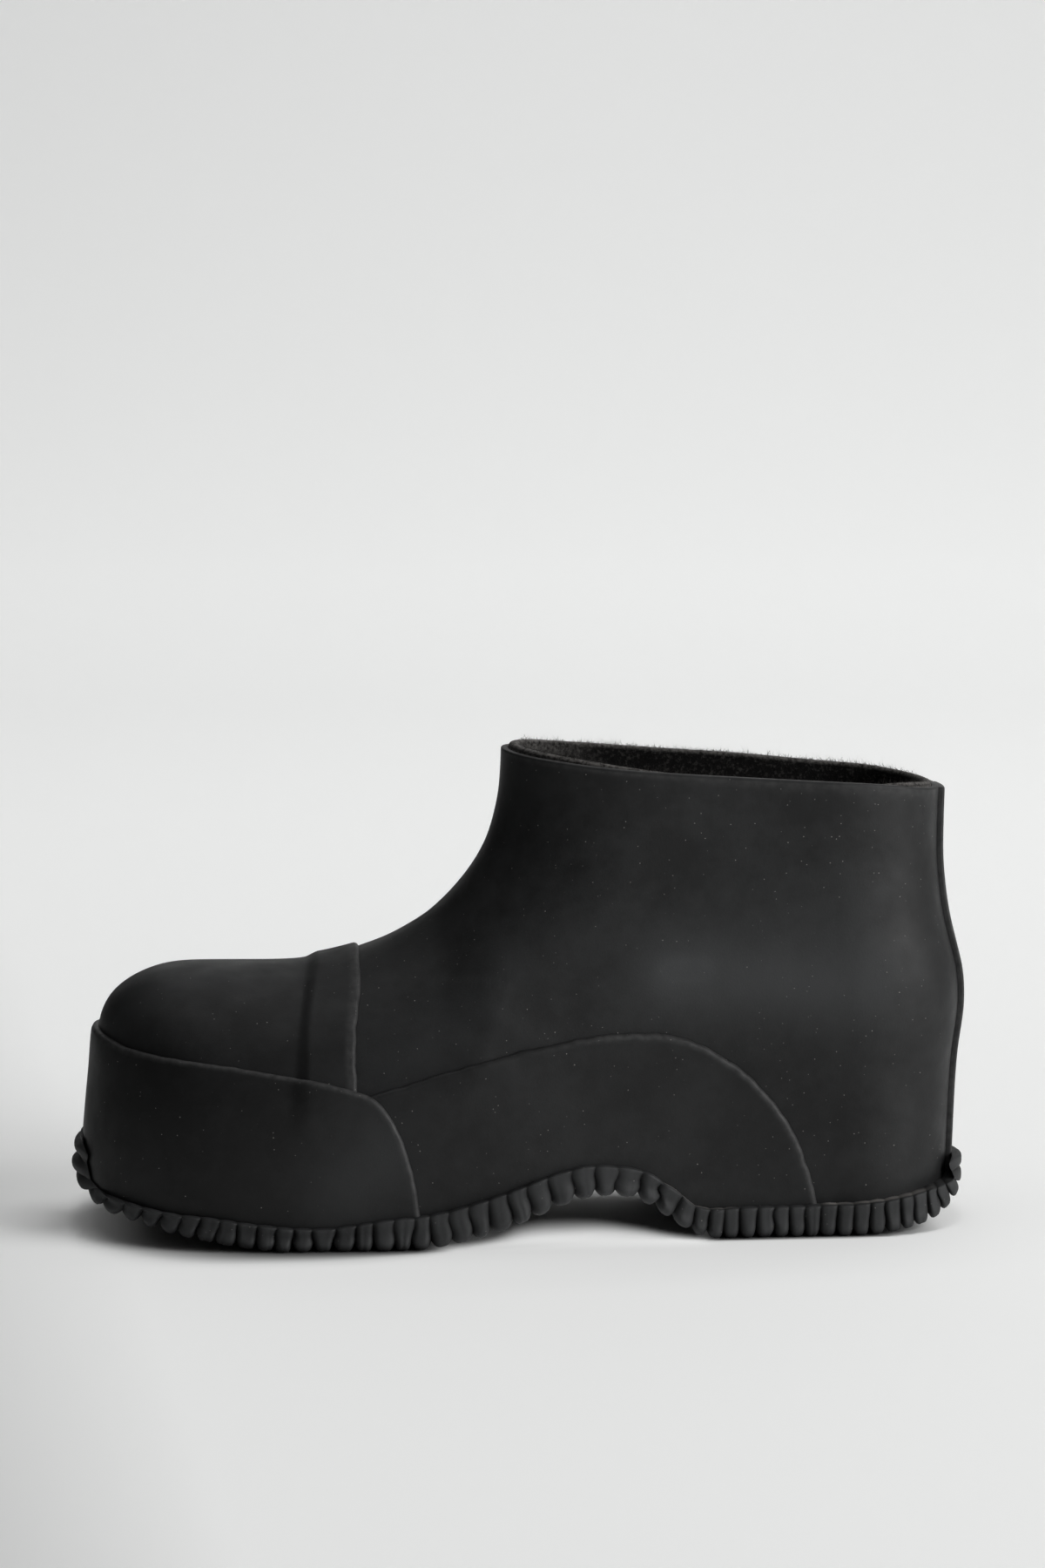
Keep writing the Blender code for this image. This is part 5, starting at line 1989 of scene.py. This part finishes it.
@dataclass(frozen=True)
class SoftLight:
    """A large soft lamp that looks at a point."""

    name: str
    place: Triple
    aim: Triple
    size: Span
    power: float

    def build(self) -> None:
        """Makes the lamp, turned toward its aim."""
        lamp = bpy.data.lights.new(self.name, "AREA")
        lamp.shape = "RECTANGLE"
        lamp.size, lamp.size_y = self.size
        lamp.energy = self.power
        made = bpy.data.objects.new(self.name, lamp)
        made.location = self.place
        made.rotation_euler = (Vector(self.aim) - Vector(self.place)).to_track_quat("-Z", "Y").to_euler()
        bpy.context.scene.collection.objects.link(made)


@dataclass
class Studio:
    """Pale paper sweep, soft lamps from the upper right, and the camera at the photograph's angle."""

    outsole: Outsole
    shift: Vector
    target: Triple = (0.0011, 0.0, 0.138)
    distance: float = 1.7
    azimuth: float = -4.0
    elevation: float = 6.6
    lens: float = 124.44
    world: float = 0.09
    half_span: float = 6.0
    bend_at: float = 1.6
    bend_radius: float = 1.2
    bend_steps: int = 24
    wall_height: float = 4.0
    near_span: Span = (0.3, 0.2)  # fine floor, half way along and across
    near_step: float = 0.0025
    sole_end: float = 0.5
    # These shape the painted shadows and painted light on the floor by the sole.
    shade_from: float = -0.2
    contact_from: float = -0.1
    contact_rise: float = 14.0
    fade: Span = (8.0, 1.5)  # toe, heel
    toe_glow: Triple = (0.32, 5.5, 11.0)  # share, and the heights that it comes in between
    heel_glow: Triple = (0.9, 1.0, 5.0)
    arch: Stretch = (-36.0, -22.0, 52.0, 60.0)
    arch_dark: float = 0.5
    arch_lift: float = 1.0
    arch_lit: Span = (-58.0, -28.0)
    arch_back: Span = (20.0, 75.0)
    lights: tuple[SoftLight, ...] = (
        SoftLight("key_right", (2.03, -1.1, 1.0), (0.0, 0.0, 0.1), (1.6, 1.6), 55.0),
        SoftLight("fill_above", (-0.25, 0.0, 2.0), (0.0, 0.0, 0.1), (1.4, 1.4), 6.2),
        SoftLight("backdrop_wash", (0.5, 0.9, 1.9), (0.0, 2.8, 0.6), (1.6, 1.0), 15.0),
    )

    def sweep(self) -> None:
        """Floor that bends up into a wall: a profile of floor, quarter circle and wall, carried along X."""
        turn = np.linspace(0.0, 0.5 * np.pi, self.bend_steps)
        near_x, near_y = (np.arange(-span, span, self.near_step) for span in self.near_span)
        bend_y = self.bend_at + self.bend_radius * np.sin(turn)
        bend_z = self.bend_radius * (1.0 - np.cos(turn))
        x = np.concatenate([[-self.half_span], near_x, [self.half_span]])
        y = np.concatenate([[-self.half_span], near_y, bend_y, [self.bend_at + self.bend_radius]])
        z = np.concatenate([np.zeros(len(near_y) + 1), bend_z, [self.wall_height]])
        grid = np.stack(np.broadcast_arrays(x[:, None], y[None, :], z[None, :]), axis=-1)
        along, across = ((grid[..., k] - self.shift[k]) / MM for k in (0, 1))
        # Painted light and painted shadow on the paper, from the sole's outline.
        open_air, contact = self.floor_light(along, across)
        shell = Shell()
        shell.face(shell.add(grid / MM, open_air=open_air, contact=contact))
        made = shell.piece("backdrop", Vector((0.0, 0.0, 0.0)))
        made.data.materials.append(PaperFinish().build())

    def floor_light(self, along: Array, across: Array) -> tuple[Array, Array]:
        """Painted light on the floor and its painted shadow by the sole, with the shadow under the arch set
        apart.

        Painted light = 1 - painted shadow, which falls with the distance from the sole and with the sole's
        height.
        Under the arch: 1 - the painted deep shadow, and more in front of it, where light comes through from
        behind.

        Args:
            along: Places along the boot, in millimetres.
            across: Places across it.

        Returns:
            Painted light, and painted shadow where the sole meets the floor.
        """
        away, height = self.from_sole(along, across)
        beside = np.clip(along, self.outsole.tip_x, self.outsole.heel_x)
        toe = along < 0.0
        # Painted deep shadow under the arch, and painted light in front of it.
        arch = plateau(along, *self.arch)
        near = arch * (1.0 - ease(across, *self.arch_back))
        inside = (across - ARCH_SHADE.second(along)) / ARCH_SOFT.second(along)
        dark = near * ease(inside, -1.0, 1.0)
        lift = self.arch_lift * near * ease(across, *self.arch_lit) * (1.0 - dark)
        glows = (share * ease(height, low, high) for share, low, high in (self.toe_glow, self.heel_glow))
        # Painted shadow round the sole, lifted under the raised toe and heel.
        shaded = 1.0 - ease(away / SHADE_REACH.second(beside), self.shade_from, 1.0)
        shaded = shaded * (1.0 - np.where(toe, *glows))
        open_air = (1.0 - arch) * (1.0 - shaded) + arch - dark + lift
        # Painted dark core where the sole meets the floor.
        reach = CONTACT_REACH.second(beside) * (1.0 + height / self.contact_rise)
        contact = 1.0 - ease(away / reach, self.contact_from, 1.0)
        contact = contact * np.exp(-height / np.where(toe, *self.fade)) * (1.0 - arch)
        return open_air, np.maximum(contact, self.arch_dark * dark)

    def from_sole(self, x: Array, y: Array) -> tuple[Array, Array]:
        """Distance outside the sole's plan outline, and the sole's height over the floor there.

        Args:
            x: Places along the boot, in millimetres.
            y: Places across it.

        Returns:
            The distances, below 0 under the sole, and the heights.
        """
        sole = self.outsole.sole
        inside = np.clip(x, self.outsole.tip_x + self.sole_end, self.outsole.heel_x - self.sole_end)
        bottom = slice(int(np.argmin(sole.x)), int(np.argmax(sole.x)) + 1)
        height = np.interp(inside, sole.x[bottom], sole.z[bottom])
        off = y - self.outsole.last.mid_line(inside)
        half = np.where(off < 0.0, *(self.outsole.rim_half_width(inside, side) for side in BOTH_SIDES))
        over = np.abs(off) - half
        away = np.where(x == inside, over, np.hypot(np.maximum(over, 0.0), x - inside))
        return away, height

    def camera(self) -> None:
        """Puts the scene's camera on a sphere about its target."""
        turn, tilt = math.radians(self.azimuth), math.radians(self.elevation)
        back = Vector((math.sin(turn) * math.cos(tilt), -math.cos(turn) * math.cos(tilt), math.sin(tilt)))
        made = bpy.data.objects.new("camera", bpy.data.cameras.new("camera"))
        made.data.lens = self.lens
        made.location = Vector(self.target) + back * self.distance
        made.rotation_euler = (-back).to_track_quat("-Z", "Y").to_euler()
        bpy.context.scene.collection.objects.link(made)
        bpy.context.scene.camera = made

    def build(self) -> None:
        """Sets up backdrop, world, lamps, camera and tone curve."""
        scene = bpy.context.scene
        for old in [thing for thing in scene.objects if thing.type in ("LIGHT", "CAMERA")]:
            bpy.data.objects.remove(old)
        scene.world = bpy.data.worlds.new("studio")
        scene.world.use_nodes = True
        sky = scene.world.node_tree.nodes["Background"]
        sky.inputs["Color"].default_value = grey(1.0)
        sky.inputs["Strength"].default_value = self.world
        scene.view_settings.view_transform = "Standard"
        self.sweep()
        for light in self.lights:
            light.build()
        self.camera()


@dataclass
class Boot:
    """The whole boot: builds each sub-assembly, dresses it and seats it in the frame."""

    last: Last
    sole: SolePath
    heel_bulge: Span = (60.0, 100.0)

    def shift(self) -> Vector:
        """Move from the last's axes into the frame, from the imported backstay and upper.

        Returns:
            The move, in metres.
        """
        stay_low, stay_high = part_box("backstay")
        low, high = self.heel_bulge
        farthest = float(BACK.fine[:, 1][(BACK.fine[:, 0] > low) & (BACK.fine[:, 0] < high)].max())
        return Vector((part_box("upper")[1].x - farthest * MM, 0.5 * (stay_low.y + stay_high.y), 0.0))

    def build(self) -> None:
        """Makes every piece, gives it its finish and seats it on the one body."""
        form = (self.last, self.sole)
        rubber = RubberFinish("sheet_rubber").build()
        # Painted shade: a darker copy of the sheet rubber for the guard.
        guard = RubberFinish("guard_rubber", shade=0.0066, bloom=0.0125, highlight_and_pale_patches=0.044).build()
        # A duller, paler copy of the rubber for the sole: the duller surface is its own, the paler colour is
        # painted light from the floor.
        tread = RubberFinish(
            "tread_rubber", shade=0.022, bloom=0.031, painted_low_shade=1.0, roughness=(0.58, 0.74),
        ).build()
        felt = FeltFinish("lining_felt").build()
        # A paler copy of the felt for the loose hairs: a painted highlight where the nap catches the light.
        nap = FeltFinish("lining_nap", shade=0.012, fleck=0.05).build()
        panels = [SidePanel(*form, f"side_panel_{side.name.lower()}", sides=(side,)) for side in BOTH_SIDES]
        lining = Lining(*form)
        solids = [(Upper(*form), rubber), (ToeGuard(*form), guard), (ToeCap(*form), rubber)]
        solids += [(panel, rubber) for panel in panels]
        solids += [(Backstay(*form), rubber), (Outsole(*form), tread), (Insole(self.last), felt)]
        for part, finish in solids:
            self.seat(part, finish, part.name)
        for part, finish in ((lining, felt), (Fuzz(self.last, lining), nap)):
            self.seat(part, finish, None)

    def seat(
        self, part: Overlay | Upper | Outsole | Insole | Fuzz, finish: bpy.types.Material, node: str | None,
    ) -> None:
        """Builds a piece, gives it its finish, lets it ride on the body and stand for its node.

        Args:
            part: The piece, which has a name and builds its shell.
            finish: Its material.
            node: Node that it stands for, or None for what lies inside the wall.
        """
        piece = part.build().piece(part.name, self.shift())
        piece.data.materials.append(finish)
        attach(piece, "root")
        if node is not None:
            piece.name = f"{node}_look"
            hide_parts(node)
        piece.data.calc_loop_triangles()
        LOG.info("%s: %d triangles", piece.name, len(piece.data.loop_triangles))


def main() -> None:
    """Builds the boot and the studio."""
    logging.basicConfig(level=logging.INFO, format="%(message)s")
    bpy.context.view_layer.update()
    boot = Boot(Last(), SolePath())
    boot.build()
    Studio(Outsole(boot.last, boot.sole), boot.shift()).build()


if __name__ == "__main__":
    main()
